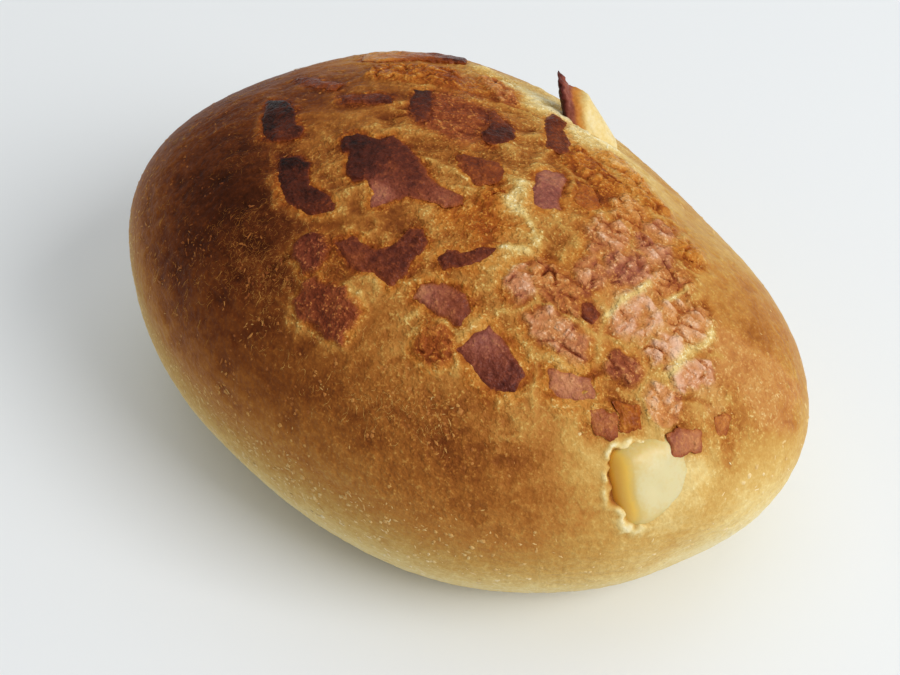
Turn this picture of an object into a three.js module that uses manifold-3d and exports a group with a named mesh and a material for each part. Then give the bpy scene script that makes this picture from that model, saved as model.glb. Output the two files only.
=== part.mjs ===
// Rice bread: a plump oblong roll. The rice paste on its top dried in the oven and broke into brown
// plates as the dough rose, and a lump of the filling pushed out through the crust near one end.
// Millimetres, +Z up. The origin is on the table under the middle of the roll, and +X runs along the
// roll towards the end where the filling shows.
import * as THREE from 'three';
import { mergeVertices } from 'three/addons/utils/BufferGeometryUtils.js';
import Module from 'manifold-3d';

// Loaf: a rounded body whose widest level is the waist, flat below where it lay on the oven tray
const HALF_LENGTH = 58;
const HALF_WIDTH = 43.8;
const WAIST_HEIGHT = 22;
const CROWN_RISE = 32;
const FOOT_DEPTH = 36;
const PLAN_POWER = 2.15;
const PEAR_SHARE = 0.028;
const SKEW_SHARE = 0.023;
const CROWN_LEAN = [-9.9, -3.9];
const LEAN_EASE = 0.15;
const PLAN_SHIFT = [-1.5, -0.37];
const LOAF_SIDES = 72;
const LOAF_RINGS = 44;

// Dents: the far side sank beside the crown and the end's lower edge drew in over the tray, while the
// left end swelled
const DENTS = [
  { at: [24, 27, 38], reach: 9, depth: 1.3 },
  { at: [54, -12, 14], reach: 7, depth: 1.3 },
  { at: [-47, -18, 36], reach: 18, depth: -0.9 },
];

// Plates of dried paste, each made of one or more lobes. A lobe is the two ends of its middle line, its
// width, and where it curls up, the lift of its second end.
const PLATES = [
  // Lone plates on the stretched left half
  [[-37, -7, -25, -12, 5]],
  [[-24, -16, -17, -20, 5], [-18, -20, -10, -20, 4]],
  [
    [-18, -7, -9, -9, 6],
    [-13, -8, -11, -14, 5],
    [-10, -8, 4, -8, 5],
    [-7, -10, -5, -16, 4],
    [-12, -3, -11, -7, 2],
  ],
  [[-38, 1, -29, 2, 3]],
  [[-26, -1, -19, 4, 3]],
  [[-18, 9, -13, 4, 4], [-13, 4, -4, 2, 3]],
  [[-16, 12, -1, 10, 7]],
  [[-3, 0, 5, 1, 5]],
  [[-16, 23, -8, 19, 2]],
  [[-29, 10, -18, 16, 6]],
  [[-37, 15, -24, 26, 6, 0.8]],
  [[-5, -23, 5, -23, 4], [5, -24, 4, -14, 4]],
  [[-5, -31, 4, -31, 4]],
  [[-10, -26, -6, -27, 3]],
  // Plates across the middle
  [[-3, 25, 6, 13, 5]],
  [[6, 17, 16, 14, 4]],
  [[9, 9, 13, 1, 4]],
  [[13, 10, 18, 7, 4]],
  [[9, 23, 17, 20, 3]],
  [[17, 19, 22, 18, 3]],
  [[8, -17, 13, -10, 3]],
  [[9, -22, 17, -20, 4]],
  [[5, -3, 9, -3, 3]],
  [[14, -26, 18, -26, 3]],
  [[19, -9, 25, -8, 4], [24, -9, 30, -7, 4]],
  [[18, -12, 21, -11, 3]],
  [[24, -14, 32, -13, 3]],
  [[19, -22, 28, -23, 5]],
  [[30, -19, 36, -15, 4]],
  // Close mosaic on the right half
  [[21, 7, 25, 2, 5]],
  [[24, -1, 26, -4, 3]],
  [[26, 5, 30, 1, 6]],
  [[26, 11, 31, 7, 5]],
  [[24, 15, 28, 12, 4]],
  [[20, 15, 22, 9, 4]],
  [[31, 9, 34, 4, 5]],
  [[36, 6, 40, 1, 6]],
  [[32, 0, 34, -6, 4]],
  [[35, 0, 36, -5, 3]],
  [[37, -1, 40, -4, 5]],
  [[42, -5, 45, 1, 3]],
  [[35, -10, 40, -9, 3]],
  [[42, -10, 45, -7, 3]],
  [[37, -19, 41, -16, 3]],
  [[40, -14, 43, -13, 3]],
  [[47, -10, 50, -6, 3]],
];
const PLATE_RISE = 0.8;
const PLATE_SINK = 1;
const PLATE_CORNER = 1.2;
const PLATE_GAP = 0.9;
const PLATE_REACH = 24;
const MEETING_SHARE = 0.9;
const EDGE_STEP = 0.2;
const RIM_STEP = 2.4;
const RIM_SIDES = [8, 18];
const BROAD_RIM = 57;
const INNER_RING = 0.55;
const RAGGED_DEPTH = 0.4;
const RAGGED_PITCH = 5.5;
const RAGGED_SWAY = 2;

// Flap: a blade of crust that peeled up at the far side, with a thick root of dough on its right
const FLAP_FOOT = [-2.6, 26.2];
const FLAP_ACROSS = [0.75, 0.66, 0];
const FLAP_ALONG = [-0.66, 0.75, 0];
const FLAP_RISING = [-0.45, 0.45, 0.77];
const FLAP_HEIGHT = 6.2;
const FLAP_SUNK = 2.5;
const FLAP_DEPTH = [7, 3];
const FLAP_ROOT = [7, 2.4];
const FLAP_BLADE = 0.8;
const FLAP_SHOULDER = [0.66, 0.76];
const FLAP_CUTS = [2, 3, 12];

// Filling: a rounded lump in a pocket that is open on the lump's left, tilted so that the skin closes
// over its lower right corner
const LUMP_AT = [48.6, -15];
const LUMP_TILT = [0.18, -0.1];
const LUMP_HALF = [6.8, 6.8, 7.5];
const LUMP_POWER = 4;
const LUMP_PROUD = 0.6;
const LUMP_SIDES = 24;
const LUMP_RINGS = 14;
const POCKET_GAP = 0.35;
const POCKET_OPENING = 2;

// Torn lip: pale dough that stands up round the pocket, highest on its left and sunk away on its right
const LIP_WIDTH = 1.8;
const LIP_RISE = 0.9;
const LIP_SINK = 0.7;
const LIP_RAGGED = 0.35;
const LIP_TEETH = 9;
const LIP_SIDES = 8;
const LIP_RINGS = 36;
const LIP_MIDDLE = 2;

// Fineness of the working-out: corners closer than this are one corner, the step of a slope reading and
// how often a stretch is halved to find where it meets the skin
const MERGE_DISTANCE = 1e-3;
const SLOPE_STEP = 0.5;
const HALVINGS = 30;

const wasm = await Module();
wasm.setup();

// Size of a plan point against the loaf's outline at the waist, 1 on the outline
function planSize(x, y) {
  const turn = Math.atan2(y, x);
  const outline = 1 + PEAR_SHARE * Math.cos(3 * turn) + SKEW_SHARE * Math.sin(4 * turn);
  return (Math.abs(x) ** PLAN_POWER + Math.abs(y) ** PLAN_POWER) ** (1 / PLAN_POWER) / outline;
}

// Dents push a point towards the loaf's middle, deepest at the dent's own place
function dented(point) {
  const middle = new THREE.Vector3(0, 0, WAIST_HEIGHT);
  const inward = middle.sub(point).normalize();
  const moved = point.clone();
  for (const { at, reach, depth } of DENTS) {
    const near = Math.exp(-((point.distanceTo(new THREE.Vector3(...at)) / reach) ** 2));
    moved.addScaledVector(inward, depth * near);
  }
  return moved;
}

// Sideways shift of a level of the loaf, from none at the waist to nearly the whole lean at the crown
function leanAt(up) {
  const share = Math.hypot(up, LEAN_EASE) - LEAN_EASE;
  return [PLAN_SHIFT[0] + CROWN_LEAN[0] * share, PLAN_SHIFT[1] + CROWN_LEAN[1] * share];
}

// Point of the loaf's skin in a direction from its middle
function loafPoint(direction) {
  const { x, y, z } = direction;
  const reach = 1 / Math.hypot(planSize(x, y), z);
  const lean = leanAt(Math.max(reach * z, 0));
  const rise = z > 0 ? CROWN_RISE : FOOT_DEPTH;
  return dented(new THREE.Vector3(
    HALF_LENGTH * reach * x + lean[0],
    HALF_WIDTH * reach * y + lean[1],
    WAIST_HEIGHT + rise * reach * z,
  ));
}

function insideLoaf({ x, y, z }) {
  const rise = z - WAIST_HEIGHT;
  const up = rise / (rise > 0 ? CROWN_RISE : FOOT_DEPTH);
  const lean = leanAt(Math.max(up, 0));
  return Math.hypot(planSize((x - lean[0]) / HALF_LENGTH, (y - lean[1]) / HALF_WIDTH), up) < 1;
}

// Where a straight way out of the loaf meets its skin, by halving the stretch that holds the meeting
function skinFrom(start, direction) {
  let near = 0;
  let far = HALF_LENGTH;
  for (let step = 0; step < HALVINGS; step++) {
    const way = (near + far) / 2;
    const inside = insideLoaf(start.clone().addScaledVector(direction, way));
    near = inside ? way : near;
    far = inside ? far : way;
  }
  return start.clone().addScaledVector(direction, near);
}

// Point of the upper skin over a plan point
function skinOver(x, y) {
  return skinFrom(new THREE.Vector3(x, y, WAIST_HEIGHT), new THREE.Vector3(0, 0, 1));
}

// Outward direction of the upper skin over a plan point
function skinNormal(x, y) {
  const alongX = skinOver(x + SLOPE_STEP, y).sub(skinOver(x - SLOPE_STEP, y));
  const alongY = skinOver(x, y + SLOPE_STEP).sub(skinOver(x, y - SLOPE_STEP));
  return alongX.cross(alongY).normalize();
}

// Solid of a closed geometry: shared corners merged, and triangles that shrank to a line left out
function toSolid(geometry) {
  geometry.deleteAttribute('normal');
  geometry.deleteAttribute('uv');
  const merged = mergeVertices(geometry, MERGE_DISTANCE);
  const corners = merged.index.array;
  const kept = [];
  for (let i = 0; i < corners.length; i += 3) {
    const [a, b, c] = [corners[i], corners[i + 1], corners[i + 2]];
    if (a !== b && b !== c && c !== a) kept.push(a, b, c);
  }
  return new wasm.Manifold(new wasm.Mesh({
    numProp: 3,
    vertProperties: new Float32Array(merged.attributes.position.array),
    triVerts: new Uint32Array(kept),
  }));
}

// Moves every vertex of a geometry by a function of its place
function mapped(geometry, place) {
  const positions = geometry.attributes.position;
  const vertex = new THREE.Vector3();
  for (let i = 0; i < positions.count; i++) {
    vertex.fromBufferAttribute(positions, i);
    const moved = place(vertex);
    positions.setXYZ(i, moved.x, moved.y, moved.z);
  }
  return geometry;
}

function loafSolid() {
  const ball = new THREE.SphereGeometry(1, LOAF_SIDES, LOAF_RINGS).rotateZ(-Math.PI / 2);
  const size = 4 * HALF_LENGTH;
  const under = new THREE.BoxGeometry(size, size, size).translate(0, 0, -size / 2);
  return toSolid(mapped(ball, loafPoint)).subtract(toSolid(under));
}

// A plan point pushed about by slow waves, so that edges drawn through it come out ragged
function raggedPlace(x, y) {
  const wave = 2 * Math.PI / RAGGED_PITCH;
  return [
    x + RAGGED_DEPTH * Math.sin(wave * y + RAGGED_SWAY * Math.sin(wave * x / 2)),
    y + RAGGED_DEPTH * Math.sin(wave * x + RAGGED_SWAY * Math.sin(wave * y / 2)),
  ];
}

// Distance of a plan point from a lobe's edge, negative inside: a bar with rounded corners
function lobeDistance(x, y, [x0, y0, x1, y1, width]) {
  const length = Math.hypot(x1 - x0, y1 - y0);
  const [dx, dy] = [(x1 - x0) / length, (y1 - y0) / length];
  const [fromX, fromY] = [x - (x0 + x1) / 2, y - (y0 + y1) / 2];
  const corner = Math.min(PLATE_CORNER, width / 2);
  const past = Math.abs(fromX * dx + fromY * dy) - length / 2 + corner;
  const aside = Math.abs(fromY * dx - fromX * dy) - width / 2 + corner;
  const outside = Math.hypot(Math.max(past, 0), Math.max(aside, 0));
  return outside + Math.min(Math.max(past, aside), 0) - corner;
}

function plateDistance(plate, x, y) {
  const [raggedX, raggedY] = raggedPlace(x, y);
  return Math.min(...plate.map((lobe) => lobeDistance(raggedX, raggedY, lobe)));
}

// A plate stops short of its neighbours, so that a crack of even width stays between them
function crackedDistance(plate, x, y) {
  const own = plateDistance(plate, x, y);
  const others = PLATES.filter((other) => other !== plate);
  const nearest = Math.min(...others.map((other) => plateDistance(other, x, y)));
  return Math.max(own, (own - nearest + PLATE_GAP) / 2);
}

// How far a plate's edge is from its middle along one direction
function edgeRadius(plate, middle, angle) {
  const within = (radius) => {
    const x = middle[0] + radius * Math.cos(angle);
    const y = middle[1] + radius * Math.sin(angle);
    return crackedDistance(plate, x, y) < 0;
  };
  let radius = EDGE_STEP;
  while (radius < PLATE_REACH && within(radius)) radius += EDGE_STEP;
  return radius;
}

// A plate's middle: halfway along a lone lobe, or where its first lobe meets the others
function plateMiddle(plate) {
  const [x0, y0, x1, y1] = plate[0];
  const share = plate.length > 1 ? MEETING_SHARE : 0.5;
  return [x0 + share * (x1 - x0), y0 + share * (y1 - y0)];
}

// One plate: a ragged disc draped on the skin, its foot sunk into the loaf
function plateSolid(plate) {
  const middle = plateMiddle(plate);
  const [x0, y0, x1, y1, width, lift = 0] = plate[0];
  const length = Math.hypot(x1 - x0, y1 - y0);
  const around = plate.length * 2 * (length + width);
  const sides = Math.min(Math.max(Math.round(around / RIM_STEP), RIM_SIDES[0]), RIM_SIDES[1]);
  const profile = [[0, 0], [1, 0], [1, 1]];
  if (around > BROAD_RIM) profile.push([INNER_RING, 1]);
  profile.push([0, 1]);
  const disc = new THREE.LatheGeometry(profile.map(([r, h]) => new THREE.Vector2(r, h)), sides);
  const sideAngle = 2 * Math.PI / sides;
  const radii = Array.from({ length: sides }, (_, side) => edgeRadius(plate, middle, side * sideAngle));
  return toSolid(mapped(disc.rotateY(Math.PI / 2), ({ x, y, z }) => {
    const side = Math.round(Math.atan2(-z, x) / sideAngle + sides) % sides;
    const planX = middle[0] + radii[side] * x;
    const planY = middle[1] - radii[side] * z;
    const share = ((planX - x0) * (x1 - x0) + (planY - y0) * (y1 - y0)) / length ** 2;
    const curl = lift * Math.min(Math.max(share, 0), 1) ** 2;
    const level = y > 0.5 ? PLATE_RISE + curl : -PLATE_SINK;
    return dented(skinOver(planX, planY).addScaledVector(skinNormal(planX, planY), level));
  }));
}

// Flap: a bar bent up from the far slope, as wide as its dough root below the shoulder and thin above it
function flapSolid() {
  const across = new THREE.Vector3(...FLAP_ACROSS);
  const along = new THREE.Vector3(...FLAP_ALONG);
  const rising = new THREE.Vector3(...FLAP_RISING).normalize();
  const foot = skinOver(...FLAP_FOOT);
  const bar = new THREE.BoxGeometry(1, 1, 1, ...FLAP_CUTS);
  return toSolid(mapped(bar, ({ x, y, z }) => {
    const share = z + 0.5;
    const narrow = THREE.MathUtils.smoothstep(share, ...FLAP_SHOULDER);
    const root = THREE.MathUtils.lerp(...FLAP_ROOT, share);
    const width = THREE.MathUtils.lerp(root, FLAP_BLADE, narrow);
    const depth = THREE.MathUtils.lerp(...FLAP_DEPTH, share);
    return foot.clone()
      .addScaledVector(across, (x + 0.5) * width)
      .addScaledVector(along, y * depth)
      .addScaledVector(rising, share * (FLAP_HEIGHT + FLAP_SUNK) - FLAP_SUNK);
  }));
}

// Directions at the filling's place: across the slope, up the slope and out of the skin, tilted together
function lumpAxes() {
  const level = skinNormal(...LUMP_AT);
  const aside = new THREE.Vector3(-level.y, level.x, 0).normalize();
  const uphill = new THREE.Vector3().crossVectors(level, aside);
  const out = level.clone()
    .addScaledVector(aside, LUMP_TILT[0])
    .addScaledVector(uphill, LUMP_TILT[1])
    .normalize();
  const across = aside.clone().addScaledVector(out, -aside.dot(out)).normalize();
  return { across, upward: new THREE.Vector3().crossVectors(out, across), out };
}

// A lump with blunt corners in the skin, grown on all sides and opened on its left to make its pocket
function lumpSolid(grown, opening) {
  const { across, upward, out } = lumpAxes();
  const middle = skinOver(...LUMP_AT)
    .addScaledVector(out, LUMP_PROUD - LUMP_HALF[2])
    .addScaledVector(across, -opening / 2);
  const [halfAcross, halfUp, halfOut] = LUMP_HALF.map((half) => half + grown);
  const ball = new THREE.SphereGeometry(1, LUMP_SIDES, LUMP_RINGS);
  return toSolid(mapped(ball, ({ x, y, z }) => {
    const blunt = [x, y, z].map((v) => Math.abs(v) ** LUMP_POWER);
    const reach = (blunt[0] + blunt[1] + blunt[2]) ** (-1 / LUMP_POWER);
    return middle.clone()
      .addScaledVector(across, (halfAcross + opening / 2) * reach * x)
      .addScaledVector(upward, halfUp * reach * y)
      .addScaledVector(out, halfOut * reach * z);
  }));
}

// Torn lip: a ring on the skin along the pocket's mouth, toothed along its edge
function lipSolid() {
  const { across, upward, out } = lumpAxes();
  const depth = (LUMP_HALF[2] - LUMP_PROUD) / (LUMP_HALF[2] + POCKET_GAP);
  const mouth = (1 - depth ** LUMP_POWER) ** (1 / LUMP_POWER);
  const halfAcross = mouth * (LUMP_HALF[0] + POCKET_GAP + POCKET_OPENING / 2);
  const halfUp = mouth * (LUMP_HALF[1] + POCKET_GAP);
  const middle = skinOver(...LUMP_AT).addScaledVector(across, -POCKET_OPENING / 2);
  const ring = new THREE.TorusGeometry(LIP_MIDDLE, 1, LIP_SIDES, LIP_RINGS);
  return toSolid(mapped(ring, ({ x, y, z }) => {
    const turn = Math.atan2(y, x);
    const corner = Math.abs(Math.cos(turn)) ** LUMP_POWER + Math.abs(Math.sin(turn)) ** LUMP_POWER;
    const reach = corner ** (-1 / LUMP_POWER);
    const teeth = LIP_RAGGED * Math.sin(LIP_TEETH * turn);
    const outward = (Math.hypot(x, y) - LIP_MIDDLE) * LIP_WIDTH / 2 + teeth;
    const start = middle.clone()
      .addScaledVector(across, Math.cos(turn) * (halfAcross * reach + outward))
      .addScaledVector(upward, Math.sin(turn) * (halfUp * reach + outward))
      .addScaledVector(out, -LUMP_HALF[2]);
    const sunk = LIP_SINK * (1 + Math.cos(turn));
    return skinFrom(start, out).addScaledVector(out, LIP_RISE * (z - sunk));
  }));
}

function meshOf(name, solid, color, roughness) {
  const { vertProperties, triVerts } = solid.getMesh();
  const geometry = new THREE.BufferGeometry();
  geometry.setAttribute('position', new THREE.BufferAttribute(vertProperties, 3));
  geometry.setIndex(new THREE.BufferAttribute(triVerts, 1));
  geometry.computeVertexNormals();
  const material = new THREE.MeshStandardMaterial({ color, roughness, metalness: 0 });
  const mesh = new THREE.Mesh(geometry, material);
  mesh.name = name;
  return mesh;
}

const pocket = lumpSolid(POCKET_GAP, POCKET_OPENING);
const torn = loafSolid().add(flapSolid()).add(lipSolid());
const crusted = PLATES.reduce((loaf, plate) => loaf.add(plateSolid(plate)), torn);

const riceBread = new THREE.Group();
riceBread.add(meshOf('bread', crusted.subtract(pocket), '#b5743c', 0.55));
riceBread.add(meshOf('filling_lump', lumpSolid(0, 0), '#ecdeb5', 0.4));

export default riceBread;
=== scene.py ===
import bpy
import numpy as np
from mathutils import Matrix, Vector


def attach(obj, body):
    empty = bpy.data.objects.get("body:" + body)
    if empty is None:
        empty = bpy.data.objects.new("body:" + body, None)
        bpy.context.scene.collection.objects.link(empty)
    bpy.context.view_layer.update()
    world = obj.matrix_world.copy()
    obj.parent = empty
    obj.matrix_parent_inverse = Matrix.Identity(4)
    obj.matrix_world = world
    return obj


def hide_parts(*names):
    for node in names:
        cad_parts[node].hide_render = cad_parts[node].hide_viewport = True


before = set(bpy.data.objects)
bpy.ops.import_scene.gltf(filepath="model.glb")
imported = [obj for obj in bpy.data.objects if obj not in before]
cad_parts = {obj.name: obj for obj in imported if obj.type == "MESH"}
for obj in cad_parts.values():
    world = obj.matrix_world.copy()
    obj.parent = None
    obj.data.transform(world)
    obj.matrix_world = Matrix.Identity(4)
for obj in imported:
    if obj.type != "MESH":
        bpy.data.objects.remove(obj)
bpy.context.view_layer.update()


# Loaf: a roll of soft wheat dough, shaped by hand and baked lying on a flat tray. It rose to a plump oblong
# that leans a little, and its skin set to a thin crust that is pale at the foot and darkest at one end.
# Sizes and places are in millimetres, as in the solids, and turn to metres where a mesh is made.
MM = 0.001
HALF_LENGTH, HALF_WIDTH = 58, 43.8
WAIST_HEIGHT, CROWN_RISE, FOOT_DEPTH, FOOT_ROUND = 22, 32, 36, 1.5
PLAN_POWER, PEAR_SHARE, SKEW_SHARE = 2.15, 0.028, 0.023
CROWN_LEAN, LEAN_EASE, PLAN_SHIFT = (-9.9, -3.9), 0.15, (-1.5, -0.37)
DENTS = [((24, 27, 38), 9, 1.3), ((54, -12, 14), 7, 1.3), ((-47, -18, 36), 18, -0.9)]
DOUGH_LUMP, DOUGH_LUMP_SIZE, DOUGH_LUMP_FADE = 0.35, 15, (1, 9)
LOAF_MIDDLE = np.array([0, 0, WAIST_HEIGHT])


def grain(points, size, seed):
    """Smooth noise from -1 to 1: random values on a cubic lattice with cells of the given size, eased between
    the eight corners of each cell. The lattice is turned, so that its rows follow no axis of the loaf."""
    cells = 64
    values = np.random.default_rng(seed).uniform(-1, 1, (cells, cells, cells))
    turn = np.array([[0.36, 0.48, -0.8], [-0.8, 0.6, 0], [0.48, 0.64, 0.6]])
    place = points @ turn / size
    low = np.floor(place).astype(int)
    share = place - low
    share = share * share * (3 - 2 * share)
    total = np.zeros(points.shape[:-1])
    for corner in np.ndindex(2, 2, 2):
        weight = np.prod(np.where(corner, share, 1 - share), axis=-1)
        total += weight * values[tuple(np.moveaxis((low + corner) % cells, -1, 0))]
    return total


def ease(value, start, stop):
    """Eased step from 0 at start to 1 at stop."""
    share = np.clip((value - start) / (stop - start), 0, 1)
    return share * share * (3 - 2 * share)


def unit(vectors):
    """Vectors of the same directions, each one long."""
    return vectors / np.linalg.norm(vectors, axis=-1, keepdims=True)


def bell(points, at, reach):
    """Bell round a place: 1 there, and down to about a third one reach away."""
    return np.exp(-(np.linalg.norm(points - at, axis=-1) / reach) ** 2)


def plan_size(x, y):
    """Size of a plan point against the outline at the waist, 1 on it: a squarish oval whose radius carries one
    wave of three round it, which makes it a pear, and one of four, which skews it."""
    turn = np.arctan2(y, x)
    outline = 1 + PEAR_SHARE * np.cos(3 * turn) + SKEW_SHARE * np.sin(4 * turn)
    return (np.abs(x) ** PLAN_POWER + np.abs(y) ** PLAN_POWER) ** (1 / PLAN_POWER) / outline


def leaned(up):
    """Sideways shift of a level of the loaf: none at the waist, nearly the whole lean at the crown."""
    share = np.hypot(up, LEAN_EASE) - LEAN_EASE
    return PLAN_SHIFT[0] + CROWN_LEAN[0] * share, PLAN_SHIFT[1] + CROWN_LEAN[1] * share


def settled(points):
    """Moves points towards the loaf's middle by a bell round each dent, and in and out by the dough's lumps,
    which fade out at the foot."""
    depth = DOUGH_LUMP * grain(points, DOUGH_LUMP_SIZE, 1) * ease(points[..., 2], *DOUGH_LUMP_FADE)
    for at, reach, amount in DENTS:
        depth += amount * bell(points, at, reach)
    return points + unit(LOAF_MIDDLE - points) * depth[..., None]


def loaf_point(direction):
    """Point of the loaf in a direction from its middle: as far as the length of (plan size, rise) along it
    allows, stretched to the half sizes, leaning with height, and rounded off where it meets the tray."""
    x, y, z = np.moveaxis(direction, -1, 0)
    reach = 1 / np.hypot(plan_size(x, y), z)
    lean_x, lean_y = leaned(np.maximum(reach * z, 0))
    level = WAIST_HEIGHT + np.where(z > 0, CROWN_RISE, FOOT_DEPTH) * reach * z
    level = (level + np.hypot(level, FOOT_ROUND)) / 2
    return settled(np.stack([HALF_LENGTH * reach * x + lean_x, HALF_WIDTH * reach * y + lean_y, level], axis=-1))


def skin_along(points, direction):
    """Where straight lines out of the loaf meet its upper skin, by halving the stretch that holds the meeting."""
    near, far, halvings = np.zeros(points.shape[:-1]), np.full(points.shape[:-1], float(HALF_LENGTH)), 26
    for _ in range(halvings):
        way = (near + far) / 2
        x, y, z = np.moveaxis(points + way[..., None] * direction, -1, 0)
        up = np.maximum(z - WAIST_HEIGHT, 0) / CROWN_RISE
        lean_x, lean_y = leaned(up)
        within = np.hypot(plan_size((x - lean_x) / HALF_LENGTH, (y - lean_y) / HALF_WIDTH), up) < 1
        near, far = np.where(within, way, near), np.where(within, far, way)
    return settled(points + near[..., None] * direction)


def skin_over(x, y):
    """Point of the upper skin over a plan point."""
    return skin_along(np.stack([x, y, np.full(np.shape(x), float(WAIST_HEIGHT))], axis=-1), np.array([0, 0, 1.0]))


def skin_normal(x, y):
    """Outward direction of the upper skin over a plan point, from its slope to both sides."""
    step = 0.4
    along_x = skin_over(x + step, y) - skin_over(x - step, y)
    along_y = skin_over(x, y + step) - skin_over(x, y - step)
    return unit(np.cross(along_x, along_y))


# Where the paste on the top broke. A hard plate is (lightness at its first corner, lightness at its far end, blush,
# lift of its far end, corners). A soft patch is (lightness at its start, at its end, blush, lobes), and a lobe is the
# two ends of its middle line and its width. Edges fray by noise, whose layers are each (depth, size).
# Blush is a pinkish colour, and on many plates and patches it is partly painted sheen.
PLATES = [
    (0.12, 0.16, 0.1, 0, [(-36.8, -6.5), (-33.6, -5.6), (-30.5, -6.7), (-28.6, -8.5), (-25.7, -10.2), (-25, -11.7),
                         (-25.9, -13), (-28, -14), (-30.4, -14), (-32.9, -11), (-35.4, -8.3)]),
    (0.13, 0.24, 0.15, 0, [(-24.3, -16.5), (-22.1, -14.8), (-20, -15), (-18.2, -16.7), (-16.4, -18.3), (-13.6, -18.4),
                          (-10, -18.6), (-9.6, -20.1), (-12.5, -21.7), (-16.4, -22.4), (-18.9, -21.2), (-22.1, -19)]),
    (0.17, 0.36, 0.3, 0, [(-18.6, -7.6), (-16.4, -5.6), (-13.2, -5.1), (-12.7, -3), (-11.1, -3.9), (-8.2, -4.6),
                          (-5.4, -5.3), (-2.9, -6.9), (0, -6.7), (2.9, -6), (4.6, -7.1), (2.9, -9.2), (0, -9.9),
                          (-3.2, -11.7), (-3.9, -14.6), (-5.2, -16.2), (-7.1, -14), (-9.6, -12.8), (-11.4, -13.9),
                          (-13.6, -12.8), (-15.7, -10.3), (-17.9, -9.9)]),
    (0.31, 0.27, 0.3, 0, [(-5.7, -23.5), (-4.3, -21.7), (-1.4, -21.2), (0.4, -21.4), (1.4, -19.9), (1.8, -17.4),
                          (2.1, -15.6), (3.6, -14.6), (5, -15.6), (5.5, -18.9), (5.9, -22.1), (5.4, -24),
                          (2.1, -24.2), (-2.1, -24.9)]),
    (0.33, 0.33, 0.1, 0, [(-2.5, -0.3), (-2.1, 1.1), (0.4, 2.2), (2.1, 3.5), (4.3, 2.9), (5.2, 1.1), (4.6, -1),
                         (3.2, -2.3), (1.1, -1.7), (-1.1, -1.7)]),
    (0.33, 0.21, 0.1, 0, [(-7.5, 14.7), (-5, 13.6), (-2.5, 12.9), (-0.7, 11.5), (-0.4, 9), (-1.4, 6.5), (-3.6, 7.2),
                          (-4.6, 9.7), (-6.4, 12.2)]),
    (0.1, 0.27, 0.15, 0, [(-18.9, 8.3), (-17.1, 10.1), (-15.4, 8.6), (-13.9, 6.5), (-11.8, 4), (-12.1, 1.9),
                          (-14.3, 2.9), (-16.4, 5.1)]),
    (0.21, 0.29, 0.15, 0, [(-18.6, 2.9), (-20, 4.4), (-22.5, 3.6), (-24.6, 1.7), (-26.8, -0.3), (-25, -1.7),
                         (-22.9, -0.3), (-20.7, 1.3)]),
    (0.24, 0.33, 0.15, 0, [(-38.9, 1.7), (-36.4, 2.6), (-32.9, 2.2), (-30, 2.9), (-29.6, 0.8), (-32.9, 0.3),
                          (-36.4, 0.6)]),
    (0.38, 0.42, 1, 0, [(7.6, 8), (9, 9.9), (10.8, 9.8), (12.2, 6.6), (14.7, 3), (13.6, 1), (11.9, 0.3), (9.4, 3)]),
    (0.45, 0.41, 0, 0, [(12.9, 10.9), (14.7, 11.6), (17.9, 9.1), (17.9, 5.9), (14.7, 6.6)]),
    (0.3, 0.25, 0.3, 0, [(13.2, -9.9), (13.6, -12.1), (12.5, -14.6), (10, -17.3), (8.2, -16.4), (8.6, -14.9),
                          (10.4, -13.1), (11.4, -11)]),
    (0.4, 0.34, 0.5, 0, [(9, -21.3), (11.1, -19.5), (14.7, -18.4), (16.9, -19.5), (17.2, -22), (13.3, -22.4),
                          (9.7, -23.1)]),
    (0.34, 0.24, 0.6, 0, [(19, -21.3), (20.1, -19.5), (25.4, -19.7), (27.9, -20.9), (28.3, -23.1), (25.1, -25.4),
                          (21.1, -24.9), (18.6, -24.5)]),
    (0.45, 0.4, 0.6, 0, [(29.7, -17.7), (31.9, -15.6), (34.7, -14), (37, -15.8), (34.4, -18.8), (31.5, -20)]),
    (0.33, 0.31, 0.3, 0, [(27.3, -6.8), (28.4, -6), (30.1, -6.4), (29.9, -8.9), (28.2, -9.2)]),
    (0.28, 0.28, 0.15, 0, [(-2.9, 23.3), (0, 23.6), (1.4, 20.4), (4.6, 18.6), (6.4, 16.1), (5.7, 14), (3.6, 14.4),
                          (1.1, 16.9), (-1.4, 20.1)]),
    (0.44, 0.41, 0, 0, [(39, -14), (41.2, -11.8), (43, -13.8), (41, -16)]),
    (0.44, 0.41, 0.4, 0, [(37, -17.8), (38.4, -15.9), (39.8, -15), (41.2, -17.5), (39.2, -18.5)]),
    (0.5, 0.46, 0.7, 0.6, [(48.7, -6.4), (49.9, -8.2), (49, -10), (47.4, -12), (45.9, -10.6), (47.2, -8.6)]),
    (0.5, 0.48, 0.2, 0, [(49.2, -3.2), (50.2, -1.2), (51.5, -3.2), (50.5, -4.5)]),
    (0.66, 0.22, 0, 0.4, [(-38.5, 17.5), (-35, 13.3), (-31.5, 14.5), (-27, 20.5), (-22.5, 24.5), (-25.5, 28),
                            (-31, 23.5)]),
]
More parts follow.
